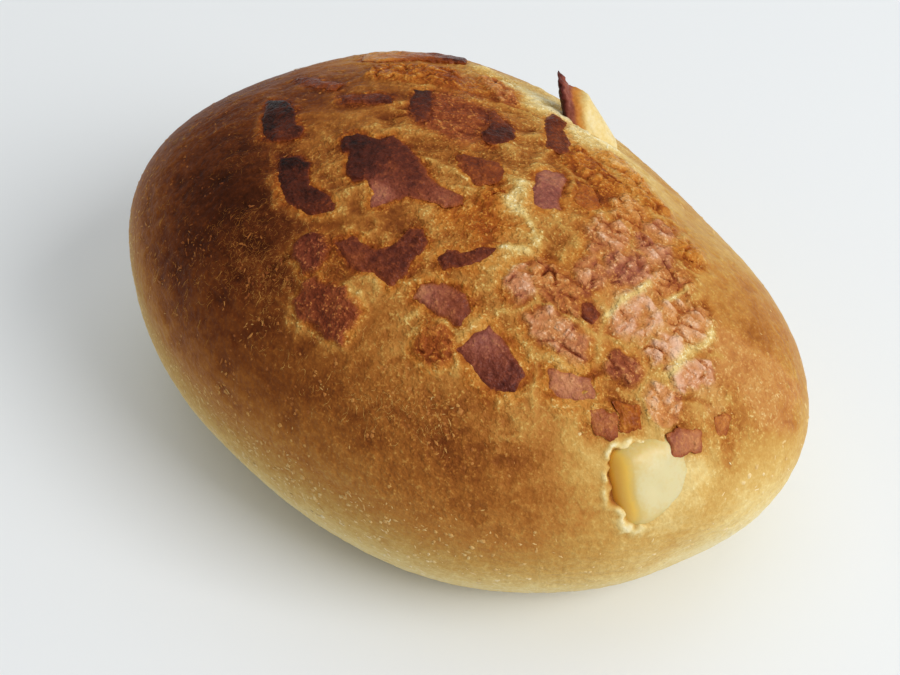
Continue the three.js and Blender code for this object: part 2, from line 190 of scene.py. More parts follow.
PATCHES = [
    (0.5, 0.4, 0.3, [(-16, 23, -8, 19, 2)]),
    (0.46, 0.36, 0, [(-29, 10, -18, 16, 6)]),
    (0.29, 0.3, 0.3, [(-5, -31, 4, -31, 4)]),
    (0.26, 0.25, 0.4, [(-10, -26, -6, -27, 3)]),
    (0.39, 0.41, 0, [(6, 17, 16, 14, 4)]),
    (0.51, 0.5, 0, [(9, 23, 17, 20, 3)]),
    (0.53, 0.42, 0, [(17, 19, 22, 18, 3)]),
    (0.45, 0.36, 0, [(5, -3, 9, -3, 3)]),
    (0.38, 0.35, 0.1, [(14, -26, 18, -26, 3)]),
    (0.46, 0.39, 0.3, [(19, -9, 25, -8, 4), (24, -9, 28, -7, 4)]),
    (0.56, 0.56, 1, [(18, -12, 21, -11, 4)]),
    (0.53, 0.49, 0, [(29, 15.5, 31, 12.5, 3)]),
    (0.56, 0.47, 0.7, [(24, -14, 32, -13, 3)]),
    (0.53, 0.45, 0.5, [(21, 7, 25, 2, 5)]),
    (0.47, 0.44, 0.5, [(24, -1, 26, -4, 3)]),
    (0.43, 0.44, 0.7, [(26, 5, 30, 1, 6)]),
    (0.5, 0.5, 0.8, [(26, 11, 31, 7, 5)]),
    (0.51, 0.47, 0.6, [(24, 15, 28, 12, 4)]),
    (0.53, 0.48, 0.2, [(20, 15, 22, 9, 4)]),
    (0.47, 0.46, 0.3, [(31, 9, 34, 4, 5)]),
    (0.57, 0.55, 0.5, [(36, 6, 40, 1, 6)]),
    (0.6, 0.58, 0.8, [(32, 0, 34, -6, 4)]),
    (0.61, 0.6, 0.8, [(35, 0, 36, -5, 3)]),
    (0.62, 0.6, 0.8, [(37, -1, 40, -4, 5)]),
    (0.6, 0.6, 1, [(42, -5, 45, 1, 3)]),
    (0.39, 0.35, 0.4, [(35, -10.2, 38.8, -9.4, 2.6)]),
    (0.58, 0.53, 0.5, [(42, -10, 45, -7, 3)]),
]
PATCH_CORNER, PLATE_GAP, PLATE_GROWTH, PATCH_GROWTH = 1, 0.3, 0.25, 0.7
PLATE_FRAY = [(0.35, 2.5), (0.3, 1.1), (0.14, 0.5)]


def layered(points, layers, seed):
    """Noise of several layers added up, each of its own depth and size."""
    return sum(depth * grain(points, size, seed) for depth, size in layers)


def lobe_distance(x, y, lobe):
    """Distance of plan points from a lobe's edge, negative inside: a bar with rounded corners."""
    x0, y0, x1, y1, width = lobe
    length = np.hypot(x1 - x0, y1 - y0)
    along_x, along_y = (x1 - x0) / length, (y1 - y0) / length
    from_x, from_y = x - (x0 + x1) / 2, y - (y0 + y1) / 2
    corner = min(PATCH_CORNER, width / 2)
    past = np.abs(from_x * along_x + from_y * along_y) - length / 2 + corner
    aside = np.abs(from_y * along_x - from_x * along_y) - width / 2 + corner
    outside = np.hypot(np.maximum(past, 0), np.maximum(aside, 0))
    return outside + np.minimum(np.maximum(past, aside), 0) - corner


def stretch_distance(x, y, start, stop):
    """Distance of plan points from a straight stretch, from the nearest point between its two ends."""
    (x0, y0), (x1, y1) = start, stop
    share = np.clip(((x - x0) * (x1 - x0) + (y - y0) * (y1 - y0)) / ((x1 - x0) ** 2 + (y1 - y0) ** 2), 0, 1)
    return np.hypot(x - x0 - share * (x1 - x0), y - y0 - share * (y1 - y0))


def outline_distance(x, y, corners):
    """Distance of plan points from a closed outline, negative inside: the least distance to one of its sides, and
    inside where a line drawn off to the right crosses an odd number of them."""
    away, crossings = np.full(np.shape(x), np.inf), np.zeros(np.shape(x), int)
    for (x0, y0), (x1, y1) in zip(corners, corners[1:] + corners[:1]):
        away = np.minimum(away, stretch_distance(x, y, (x0, y0), (x1, y1)))
        spans = (y0 > y) != (y1 > y)
        crossings += spans & (x < x0 + (y - y0) * (x1 - x0) / (y1 - y0 if y1 != y0 else 1))
    return np.where(crossings % 2 == 1, -away, away)


def plate_field(x, y):
    """Distance of plan points from the edge of the nearest plate or patch, negative inside, which one that is, plates
    before patches, and the distance from the second nearest. Noise of three sizes pushes the points about first, so
    that edges come out frayed, and a plate stops short of its neighbour, so that a crack stays between them."""
    flat = np.stack([x, y, np.zeros(np.shape(x))], axis=-1)
    ragged_x, ragged_y = x + layered(flat, PLATE_FRAY, 2), y + layered(flat, PLATE_FRAY, 3)
    hard = np.stack([outline_distance(ragged_x, ragged_y, corners) for *_, corners in PLATES]) - PLATE_GROWTH
    soft = np.stack([np.min([lobe_distance(ragged_x, ragged_y, lobe) for lobe in lobes], axis=0)
                     for *_, lobes in PATCHES])
    distance = np.concatenate([hard, np.maximum(soft - PATCH_GROWTH, PLATE_GAP - hard.min(axis=0))])
    nearest, second = np.partition(distance, 1, axis=0)[:2]
    return np.maximum(nearest, (nearest - second + PLATE_GAP) / 2), distance.argmin(axis=0), second


# The pocket that the filling pushed open, and its directions: across the slope, up the slope and out of the skin.
LUMP_AT, LUMP_TILT, LUMP_HALF = (48.6, -15), (0.18, -0.1), (6.8, 6.8, 7.5)
LUMP_POWER, LUMP_PROUD, POCKET_GAP, POCKET_OPENING = 4, 0.6, 0.35, 2
lump_foot = skin_over(np.array(LUMP_AT[0]), np.array(LUMP_AT[1]))
level_out = skin_normal(np.array(LUMP_AT[0]), np.array(LUMP_AT[1]))
level_across = np.array([-level_out[1], level_out[0], 0]) / np.hypot(level_out[0], level_out[1])
lump_out = unit(level_out + LUMP_TILT[0] * level_across + LUMP_TILT[1] * np.cross(level_out, level_across))
lump_across = unit(level_across - level_across @ lump_out * lump_out)
lump_axes = np.stack([lump_across, np.cross(lump_out, lump_across), lump_out])
pocket_middle = lump_foot - POCKET_OPENING / 2 * lump_across
pocket_mouth = (1 - ((LUMP_HALF[2] - LUMP_PROUD) / (LUMP_HALF[2] + POCKET_GAP)) ** LUMP_POWER) ** (1 / LUMP_POWER)
POCKET_HALF = pocket_mouth * np.array([LUMP_HALF[0] + POCKET_GAP + POCKET_OPENING / 2, LUMP_HALF[1] + POCKET_GAP])


def pocket_distance(points):
    """How far points are outside the pocket's mouth, negative inside it, in millimetres: the size of their place
    across and up the mouth against its blunt oval. Points far from the mouth's plane are far outside."""
    across, up, out = np.moveaxis((points - pocket_middle) @ lump_axes.T, -1, 0)
    size = np.sum([np.abs(across / POCKET_HALF[0]) ** LUMP_POWER, np.abs(up / POCKET_HALF[1]) ** LUMP_POWER], axis=0)
    return np.maximum((size ** (1 / LUMP_POWER) - 1) * POCKET_HALF.min(), np.abs(out) - 2 * POCKET_HALF.min())


# How light the crust is, from 0 for burnt to 1 for white: pale at the foot, darker with every millimetre above it,
# and darker or lighter round a few places. The pale places on the far side, at y from 17 to 32, are partly paler crust
# and partly painted light on the lit far side and its glowing rim. A place is its point, its reach and what it adds.
FOOT_PALENESS, TOAST_FROM, TOAST_TO, TOAST_DEPTH = 0.84, 12, 37, 0.49
TOAST_AND_LIT_PLACES = [
    ((-28, -23, 45), 16, -0.16),
    ((-57, -20, 25), 16, 0.13),
    ((-44, -35, 31), 15, 0.13),
    ((14, -29, 40), 15, 0.09),
    ((41, -18, 36), 6, 0.1),
    ((30, -36, 27), 16, -0.04),
    ((57, -4, 25), 11, 0.12),
    ((47, -20, 28), 10, 0.12),
    ((52, -22, 16), 13, -0.04),
    ((56, 6, 24), 20, 0.05),
    ((44, 8, 38), 14, 0.1),
    ((28, 2, 47), 16, 0.18),
    ((8, 0, 52), 11, 0.15),
    ((16, -22, 47), 11, 0.1),
    ((35, -24, 40), 9, 0.1),
    ((39, -20, 38), 7, 0.15),
    ((30.5, -21, 43), 4, -0.06),
    ((16, -15.5, 49), 6, -0.1),
    ((30, 28, 38), 15, 0.25),
    ((6, 32, 42), 16, 0.24),
    ((-10, 26, 46), 9, 0.22),
    ((2, 25, 46), 9, 0.2),
    ((15, 25, 44), 8, 0.1),
    ((-34, 17, 45), 9, 0.16),
    ((-18, 30, 43), 15, 0.24),
    ((-38, 20, 40), 14, 0.14),
    ((-23, -9, 52), 8, 0.12),
]


def toast_and_lit_lightness(points):
    """Lightness of the crust: the foot's paleness, less a share that grows evenly with height, plus a bell round
    each listed place, toasted darker or paler, and on the far side partly painted light."""
    lightness = FOOT_PALENESS - TOAST_DEPTH * np.clip((points[..., 2] - TOAST_FROM) / (TOAST_TO - TOAST_FROM), 0, 1)
    for at, reach, amount in TOAST_AND_LIT_PLACES:
        lightness = lightness + amount * bell(points, at, reach)
    return lightness


# Rows along the roll and columns round it, as steps up to each angle in degrees. The top of the roll between the two
# pairs of crown angles is the next piece, and the skin drops below it there.
ALONG_STEPS, ALONG_ANGLES = (0, 20, 224, 294), (0, 13, 132, 180)
AROUND_STEPS, AROUND_ANGLES = (0, 80, 150, 240), (26, 172, 206, 386)
CROWN_DROP = 1.2
WRINKLE_DEPTH, WRINKLE_SIZE, WRINKLE_DRAWN, WRINKLE_FADE = 0.08, 1.4, (1, 1, 2), 4


def skin_grid(along, around):
    """Points of the loaf and their outward directions on a grid of angles along it and round it."""
    along, around = np.radians(along)[:, None], np.radians(around)[None, :]

    def at(along, around):
        """Point of the loaf at an angle along it and an angle round it."""
        return loaf_point(np.stack(np.broadcast_arrays(
            np.cos(along), np.sin(along) * np.cos(around), np.sin(along) * np.sin(around)), axis=-1))

    step = 0.004
    lengthways = at(along + step, around) - at(along - step, around)
    crossways = at(along, around + step) - at(along, around - step)
    return at(along, around), unit(np.cross(lengthways, crossways))


def wrinkles(points, fade):
    """Fine wrinkles of the plain skin, drawn out level, that die away where fade is 0."""
    return WRINKLE_DEPTH * fade * grain(points * WRINKLE_DRAWN, WRINKLE_SIZE, 7)


along = np.interp(np.arange(1, ALONG_STEPS[-1]), ALONG_STEPS, ALONG_ANGLES)
around = np.interp(np.arange(AROUND_STEPS[-1]), AROUND_STEPS, AROUND_ANGLES)
skin, skin_out = skin_grid(along, around)
hair = 0.01
inner_rows = (along > ALONG_ANGLES[1] + hair) & (along < ALONG_ANGLES[2] - hair)
inner_columns = (around > AROUND_ANGLES[0] + hair) & (around < AROUND_ANGLES[1] - hair)
beneath = inner_rows[:, None] & inner_columns[None, :]
past_row = np.maximum(ALONG_ANGLES[1] - along, along - ALONG_ANGLES[2])[:, None]
past_column = np.maximum(around - AROUND_ANGLES[1], 0)[None, :]
fade = ease(np.maximum(past_row, np.minimum(past_column, AROUND_ANGLES[0] + 360 - around)), 0, WRINKLE_FADE)
skin_lightness = toast_and_lit_lightness(skin)
skin += skin_out * (wrinkles(skin, fade) - CROWN_DROP * beneath)[..., None]


def linear(code):
    """Linear RGBA of an sRGB hex colour."""
    share = np.array([int(code[i:i + 2], 16) / 255 for i in (1, 3, 5)])
    return (*np.where(share <= 0.04045, share / 12.92, ((share + 0.055) / 1.055) ** 2.4), 1)


def add_node(tree, kind, inputs=(), stops=(), **settings):
    """Adds a node of a kind, with its settings, its colour stops as (place, hex colour) and its inputs: a socket's
    name or number to a value, or to the output socket that is linked into it."""
    node = tree.nodes.new("ShaderNode" + kind)
    for name, value in settings.items():
        setattr(node, name, value)
    for i, (place, code) in enumerate(stops):
        mark = node.color_ramp.elements[i] if i < 2 else node.color_ramp.elements.new(place)
        mark.position, mark.color = place, linear(code)
    for socket, value in dict(inputs).items():
        if isinstance(value, bpy.types.NodeSocket):
            tree.links.new(value, node.inputs[socket])
        else:
            node.inputs[socket].default_value = value
    return node


def add_piece(name, points, faces, material, **fields):
    """Puts points in millimetres and faces into a smooth mesh at the origin, with one number a point for each
    named field, sharp where faces fold by more than a sharp fold, and rides it on the bread."""
    sharp_fold = np.radians(55)
    mesh = bpy.data.meshes.new(name)
    mesh.from_pydata(points * MM, [], faces)
    for field, values in fields.items():
        mesh.attributes.new(field, "FLOAT", "POINT").data.foreach_set("value", np.ravel(values).astype(np.float32))
    mesh.materials.append(material)
    mesh.shade_smooth()
    mesh.set_sharp_from_angle(angle=sharp_fold)
    piece = bpy.data.objects.new(name, mesh)
    bpy.context.scene.collection.objects.link(piece)
    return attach(piece, "root")


def grid_faces(rows, columns, closed):
    """Quads between neighbouring rows and columns of a grid of points, the last column joined to the first where
    the grid is closed."""
    index = np.arange(rows * columns).reshape(rows, columns)
    if closed:
        index = np.hstack([index, index[:, :1]])
    return np.stack([index[:-1, :-1], index[:-1, 1:], index[1:, 1:], index[1:, :-1]], axis=-1).reshape(-1, 4)


def capped_faces(rows, columns):
    """Faces of a grid closed round its columns, with one more point before its first row and one after its last
    that close its ends."""
    last = 1 + rows * columns
    ring = np.arange(columns)
    after = np.roll(ring, -1)
    start = np.stack([np.zeros(columns, int), 1 + after, 1 + ring], axis=-1)
    stop = np.stack([np.full(columns, last), last - columns + ring, last - columns + after], axis=-1)
    return [*(grid_faces(rows, columns, True) + 1).tolist(), *start.tolist(), *stop.tolist()]


def capped(ends, grid):
    """Points or values of a grid in one row, between those of the two ends that close it."""
    return np.concatenate([ends[:1], grid.reshape(-1, *np.shape(ends)[1:]), ends[1:]])


CRUST_STOPS = [(0.1, "#1c0b04"), (0.22, "#48200c"), (0.3, "#663214"), (0.38, "#82481c"), (0.46, "#9c5f27"),
               (0.54, "#b17737"), (0.62, "#be8f48"), (0.7, "#cda75f"), (0.8, "#e0c684"), (0.93, "#f0e4ba")]
PASTE_STOPS = [(0.1, "#190804"), (0.25, "#5a2510"), (0.32, "#7a3814"), (0.4, "#984d19"), (0.5, "#b76f28"),
               (0.6, "#ca8b3e"), (0.75, "#dcb070")]
BLUSH_STOPS = [(0.1, "#1e0a08"), (0.25, "#552520"), (0.33, "#743a30"), (0.41, "#925444"), (0.5, "#b07150"),
               (0.58, "#c6875e"), (0.75, "#e0b494")]
# The crust's patterns, as their size and how many finer layers each carries: patches of browning, grain, specks, pits
# and folds. The specks are painted glints, and the folds' tone is painted shade in their hollows and painted light on
# their ridges, matching their bump. Plain crust shows this share of its specks, folds and pits, and crinkled crust
# shows more.
CRUST_PATTERNS = [(3, 3), (0.6, 2), (0.38, 1), (0.35, 2), (1, 2)]
CLUSTER_EDGE, SPECK_EDGE, PLAIN_SPECKS, SPECK_MEAN, FOLD_SHADE_SHARE = (0.38, 0.62), (0.46, 0.74), 0.3, 0.12, 0.6
PLAIN_FOLDS, PLAIN_PITS, CRINKLED_PITS, FOLD_BUMP, PIT_BUMP = 0.25, 0.26, 0.14, 1, 0.4
CRUST_ROUGHNESS, PASTE_SMOOTHER = 0.4, -0.1


def baked_crust(name, mottle, speck, crumple, shine):
    """A crust baked brown. Its lightness field, made uneven by patches of browning 3 mm wide and a grain of 0.6 mm,
    darker in the hollows and paler on the ridges of folds of 1 mm with painted shade and light that match its bump, and
    dotted with clusters of light specks of 0.4 mm that are painted glints, picks a colour between burnt and pale straw.
    Where its paste field is up, the colour is the orange-brown of dried rice paste instead, or a pinkish brown as far
    as its blush field goes, a pink that is partly painted sheen, and the surface is glossier. Pits of 0.35 mm over the
    folds break the gloss, most where its crinkle field is up."""
    material = bpy.data.materials.new(name)
    material.use_nodes = True
    tree = material.node_tree
    place = add_node(tree, "TexCoord").outputs["Object"]
    field, paste, blush, crinkle = [add_node(tree, "Attribute", attribute_name=field).outputs["Fac"]
                                    for field in ("lightness", "paste", "blush", "crinkle")]
    patches, motes, specks, pits, folds = [
        add_node(tree, "TexNoise", {"Vector": place, "Scale": 1 / (size * MM), "Detail": detail}).outputs["Fac"]
        for size, detail in CRUST_PATTERNS]
    # Light specks, painted glints, most where the crinkle field is up and clustered along the folds.
    painted_glints = add_node(tree, "Math", {0: crinkle, 1: speck, 2: PLAIN_SPECKS * speck},
                    operation="MULTIPLY_ADD").outputs[0]
    for pattern, (low, high) in ((folds, CLUSTER_EDGE), (specks, SPECK_EDGE)):
        painted_glints = add_node(tree, "MapRange", {"Value": pattern, "From Min": low, "From Max": high, "To Max": painted_glints},
                        interpolation_type="SMOOTHSTEP").outputs[0]
    uneven = add_node(tree, "Math", {0: field, 1: painted_glints}, operation="ADD").outputs[0]
    # Patches, grain and folds make the lightness uneven. The folds share the bump's noise, so their tone is painted
    # shade in the hollows and painted light on the ridges.
    for pattern, share in ((patches, 1), (motes, 1), (folds, FOLD_SHADE_SHARE)):
        uneven = add_node(tree, "Math", {0: pattern, 1: share * mottle, 2: uneven},
                          operation="MULTIPLY_ADD").outputs[0]
    pattern_mean = (2 + FOLD_SHADE_SHARE) / 2 * mottle + SPECK_MEAN * speck
    uneven = add_node(tree, "Math", {0: uneven, 1: pattern_mean}, operation="SUBTRACT").outputs[0]
    tan, orange, pink = [add_node(tree, "ValToRGB", {"Fac": uneven}, stops).outputs["Color"]
                         for stops in (CRUST_STOPS, PASTE_STOPS, BLUSH_STOPS)]
    dried = add_node(tree, "Mix", {0: blush, 6: orange, 7: pink}, data_type="RGBA").outputs[2]
    colour = add_node(tree, "Mix", {0: paste, 6: tan, 7: dried}, data_type="RGBA").outputs[2]
    rough = add_node(tree, "Math", {0: paste, 1: PASTE_SMOOTHER, 2: CRUST_ROUGHNESS},
                     operation="MULTIPLY_ADD").outputs[0]
    deep, fine = [add_node(tree, "Math", {0: crinkle, 1: more, 2: least}, operation="MULTIPLY_ADD").outputs[0]
                  for more, least in ((crumple, PLAIN_FOLDS), (CRINKLED_PITS, PLAIN_PITS))]
    coarse = add_node(tree, "Bump", {"Height": folds, "Strength": deep, "Distance": FOLD_BUMP * MM}).outputs["Normal"]
    normal = add_node(tree, "Bump", {"Height": pits, "Strength": fine, "Distance": PIT_BUMP * MM,
                                     "Normal": coarse}).outputs["Normal"]
    shader = tree.nodes["Principled BSDF"]
    shader.inputs["Specular IOR Level"].default_value = shine
    for socket, output in (("Base Color", colour), ("Roughness", rough), ("Normal", normal)):
        tree.links.new(output, shader.inputs[socket])
    return material


wheat_crust = baked_crust("wheat_crust_oven_browned", mottle=0.115, speck=0.16, crumple=0.6, shine=0.04)
poles = loaf_point(np.array([[1.0, 0, 0], [-1.0, 0, 0]]))
loaf = add_piece("loaf_skin", capped(poles, skin), capped_faces(*skin.shape[:2]), wheat_crust,
                 lightness=capped(toast_and_lit_lightness(poles), skin_lightness))
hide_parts("bread")


# Paste crown: the top of the roll, brushed with a batter of rice flour before baking. The batter broke as the dough
# rose. Where it broke, the skin stretched into pale fibres, seams and veins, and a thin orange film of batter stayed
# beside each break.
CROWN_ROWS, CROWN_COLUMN_STEPS, CROWN_COLUMN_ANGLES, CROWN_SKIRT = 327, (0, 22, 252, 298), (26, 45, 138, 172), 1
# Pairs named fade, wider, paler or thinner are the plan x from which and up to which a thing changes. Pairs named
# whole are the noise from which and up to which a line that breaks up becomes whole.
STRETCHED = [(-21, 4, 24, -2, 34), (-4, -17, 30, -16, 20), (-20, 18, 12, 22, 18)]
STRETCHED_FRAY, STRETCHED_SOFT = [(5, 6), (3, 2), (1.5, 0.8)], 6
STRETCHED_PALENESS, STRETCHED_PALER, STRETCHED_BELOW = (0.43, 0.54), (-30, -5), (0.7, 0.5)
HALO_REACH, HALO_FRAY, HALO_SHARE, HALO_FADE = (2.3, 0.4), [(0.6, 1.5)], (0.5, 1), (-30, -10)
FIBRE_DEPTH, FIBRE_SIZES, FIBRE_PALE_AND_SHADE, RIDGE_MEAN = 0.8, (3.2, 1.5, 0.8), 0.25, 0.3
FIBRE_RUN, FIBRE_LENGTH, FAINT_FIBRES = (0.755, 0.656), 1.9, 0.4
FIBRE_SWAY, SWAY_SIZE, EDGE_SWAY, CRUMPLE_SWAY = 1.8, 4, 0.4, 0.5
SWELL_DEPTH, SWELL_SIZE, SWELL_DRAWN, SWELL_PALE = 0.4, 7, (1, 1.4, 1), 0.06
UNSTRETCHED_TONE, UNSTRETCHED_DEPTH = 0.3, 0.25
# The film of batter round each plate, and the veins midway between plates.
FILM_REACH, FILM_WIDER, FILM_REACH_FRAY, FILM_THINNER, FILM_SHARE = (1, 2.4), (0, 18), [(0.5, 2)], (32, 42), (1, 0.4)
FILM_RISE, FILM_DARK, FILM_PASTE, FILM_SMOOTH, FILM_EDGE = 0.1, 0.07, 0.75, 0.6, (1, 0.1)
VEIN_WIDTH, VEIN_FRAY, VEIN_SPAN, VEIN_RISE, VEIN_PALENESS = 0.9, [(0.6, 3)], (6.5, 4), 0.3, 0.64
VEIN_FADE, VEIN_BREAKS, VEIN_WHOLE, VEIN_CLEAR, VEIN_COVER = (4, 14), 5, (-0.5, 0.2), (-0.2, 0.4), 0.9
# Hard plates are a piece of their own. The paler ones stay soft patches of this skin, crumpled and without an edge.
PATCH_FRAY, PATCH_SOFT, PATCH_RISE, PATCH_CRUMPLED, SKIN_SINK, SINK_EDGE = (
    [(0.8, 1.3)], 0.6, 0.2, (0.26, 0.42), 0.3, (0, -0.5))
# Crumpled patches: puffs whose tops get a painted highlight, and cracks that get painted shade.
CRUMPLE_DEPTH, CRUMPLE_SIZES, CRUMPLE_HIGHLIGHT = 0.5, (1.5, 0.8), 0.18
CRACK_SIZE, CRACK_WIDTH, CRACK_DEPTH, CRACK_SHADE, CRACK_BREAKS, CRACK_WHOLE = 3.4, 0.6, 0.5, 0.17, 2.5, (-0.6, 0.2)
CRACK_SHADE_MEAN, CRACK_DEPTH_MEAN, BLUSH_GAIN, CRACK_BLUSH = 0.35, 0.7, 1.15, 0.5
# Broad films of batter: lightness, share of paste, blush, and a lobe as for a patch.
FILMS = [
    (0.43, 1, 0, (3, -6.8, 13, -9, 9.5)),
    (0.4, 0.3, 0, (-11, -24, -1, -26, 4)),
    (0.47, 0, 0, (-24, -4, -19.5, -13, 5)),
    (0.36, 1, 0.25, (-15, 7, -4, 8, 11)),
    (0.44, 0.8, 0, (-27, 13, -10, 20, 7)),
    (0.44, 0.8, 0, (8, 15, 18, 9, 6)),
    (0.5, 0.85, 0.2, (20, -11, 33, -6, 8)),
    (0.58, 0.8, 0.3, (22, 9, 38, -3, 14)),
    (0.66, 0.6, 0.3, (38, -9, 46, -5, 6)),
    (0.57, 0.4, 0.5, (46, 12, 51, 3, 14)),
    (0.63, 0.4, 0.5, (45, -4, 48, 0, 5)),
    (0.84, 0, 0, (42.4, -16.2, 45.2, -13, 1.8)),
]
FILM_SOFT, FILM_FRAY = 2, [(2, 4)]
# The skin is crinkled along the front and at the right end too: point, reach and how much.
CRINKLED = [((20, -28, 40), 17, 0.75), ((49, 2, 34), 14, 0.7)]
# Pale seams where the skin stretched most, and slits that tore open, darkened with painted shade: the ends of each
# stretch and its half width.
SEAMS = [((8, 3), (9.5, -2), 0.8), ((9.5, -2), (13.5, -3), 0.6), ((13.5, -3), (16.4, -4.6), 0.6),
         ((14, -9.5), (16.4, -6.6), 0.7), ((31, 3), (31, -6), 0.6), ((34.7, 8), (34.7, 3), 0.35),
         ((41.5, 6), (41.5, -5), 0.6)]
SLITS = [((44.8, -6.4), (48, -2.6), 0.35), ((29, 17), (30, 14), 0.4), ((12, 6.7), (14.6, 3), 0.5)]
SEAM_PALENESS, SEAM_RISE, SLIT_SHADE, SLIT_DEPTH, LINE_FRAY = 0.76, 0.22, 0.13, 0.3, [(0.7, 2.5)]
GLOW_SPREAD, GLOW_PALENESS, GLOW_SHARE, GLOW_ON_PATCH = 2.6, 0.58, 0.6, 0.3
# The torn mouth over the filling: its edge stands up ragged and white with dough on the left, and on the right a
# thin skin still covers a corner of the filling.
MOUTH = [(42.2, -18.2), (43.9, -16.2), (45.7, -14.2), (48.3, -11.7), (51.5, -9.2), (51, -14.2), (50, -17.5),
         (48.8, -19.5), (46.8, -21.5), (45, -21.8), (43.2, -20.5)]
MOUTH_FRAY, MOUTH_WALL, MOUTH_SOFT = [(0.5, 1.8), (0.3, 0.8)], (0.1, -0.5), 2.2
MOUTH_DEPTH, MOUTH_FLOOR, MOUTH_FRAYED = (0.8, 1.1), (0.86, 0.5), (0.3, 1)
MOUTH_LEFT, MOUTH_TOP, MOUTH_TOP_LEFT = (1, -4), (2, 5), (4, 0)
LIP_RISE, LIP_WIDTH, LIP_PALENESS, LIP_TORN, LIP_TEARS, LIP_WHOLE = 0.45, 0.5, 0.84, (0.2, 1), 1.1, (-0.7, 0.3)
ROUND_REACH, ROUND_PALENESS, ROUND_SMOOTH, ROUND_CRINKLE, ROUND_LEFT = 5, 0.74, 0.8, 0.7, 0.6
SKIN_OVER, SKIN_OVER_EDGE, BARE_EDGE = 0.55, (2.5, -0.5), (0.6, -0.1)


def between(ends, share):
    """What lies a share of the way from the first of two ends to the second."""
    return ends[0] + (ends[1] - ends[0]) * share


def line_nearness(x, y, lines, spread):
    """1 on the middle of the nearest line and falling off as a bell over its half width times the spread, which noise
    makes uneven."""
    nearness = np.zeros(np.shape(x))
    swell = spread * (1 + layered(np.stack([x, y, 0 * x], axis=-1), LINE_FRAY, 65))
    for start, stop, half in lines:
        nearness = np.maximum(nearness, np.exp(-(stretch_distance(x, y, start, stop) / half / swell) ** 2))
    return nearness


def ridges(points, sizes, seed):
    """Noise that is 1 along crumpled ridges and falls to about -1 between them, each size half as strong as the
    one before."""
    return sum((1 - 2 * np.abs(grain(points, size, seed + i))) / 2 ** i for i, size in enumerate(sizes)) / 2


def cracks(x, y, size, seed):
    """1 on the lines that part plan points into cells of about one size, and 0 well inside a cell: how near the
    nearest and the second nearest of scattered middles are to being equally far."""
    cells = 64
    middles = np.random.default_rng(seed).uniform(size=(cells, cells, 2))
    column, row = np.floor(x / size).astype(int), np.floor(y / size).astype(int)
    away = np.stack([np.hypot(x / size - column - i - middles[(column + i) % cells, (row + j) % cells, 0],
                              y / size - row - j - middles[(column + i) % cells, (row + j) % cells, 1])
                     for i in (-1, 0, 1) for j in (-1, 0, 1)])
    first, second = np.partition(away, 1, axis=0)[:2]
    return ease((second - first) * size, CRACK_WIDTH, 0)


# Burnt ends of the plates, which darken them, and paler, pinker places on them, most of them painted sheen: point,
# reach, lightness and blush that it adds.
SCORCHES_AND_SHEEN = [((-2, 9.5), 2.5, -0.06, 0), ((-15, -9), 4, -0.03, 0), ((-6, -14), 3, 0.2, 0.7), ((1, -8), 3, 0.04, 0.3),
            ((9, 8.5), 2.5, 0.06, 0.3), ((10, -22), 2.5, 0.08, 0.4), ((-17, 10), 1.5, 0.04, 0.3),
            ((20.5, -21), 2.5, 0.1, 0.4), ((33, -17), 3, 0.06, 0.3), ((-27, -13), 2.5, 0.06, 0)]
PLATE_TONES = [(0.05, 2.5), (0.03, 0.8)]
plate_starts = np.array([corners[0] for *_, corners in PLATES] + [lobes[0][:2] for *_, lobes in PATCHES])
plate_stops = np.array([max(corners, key=lambda corner: np.hypot(*np.subtract(corner, corners[0])))
                        for *_, corners in PLATES] + [lobes[-1][2:4] for *_, lobes in PATCHES])
plate_tones = np.array([plate[:3] for plate in PLATES + PATCHES])
plate_hard = np.arange(len(plate_tones)) < len(PLATES)


def plate_tone(points, which):
    """Lightness and blush of the plates at points over them, and how far along its plate each point is: tones run
    from a plate's start to its end, are uneven, and change round burnt ends and painted sheen."""
    plan, way = points[..., :2], (plate_stops - plate_starts)[which]
    run = np.clip(np.sum((plan - plate_starts[which]) * way, axis=-1) / np.sum(way ** 2, axis=-1), 0, 1)
    light_start, light_stop, blush = np.moveaxis(plate_tones[which], -1, 0)
    lightness = between((light_start, light_stop), run) + layered(points, PLATE_TONES, 61)
    for at, reach, light, pinkness in SCORCHES_AND_SHEEN:
        near = bell(plan, at, reach)
        lightness += light * near
        blush = np.clip(blush + pinkness * near, 0, 1)
    return lightness, blush, run


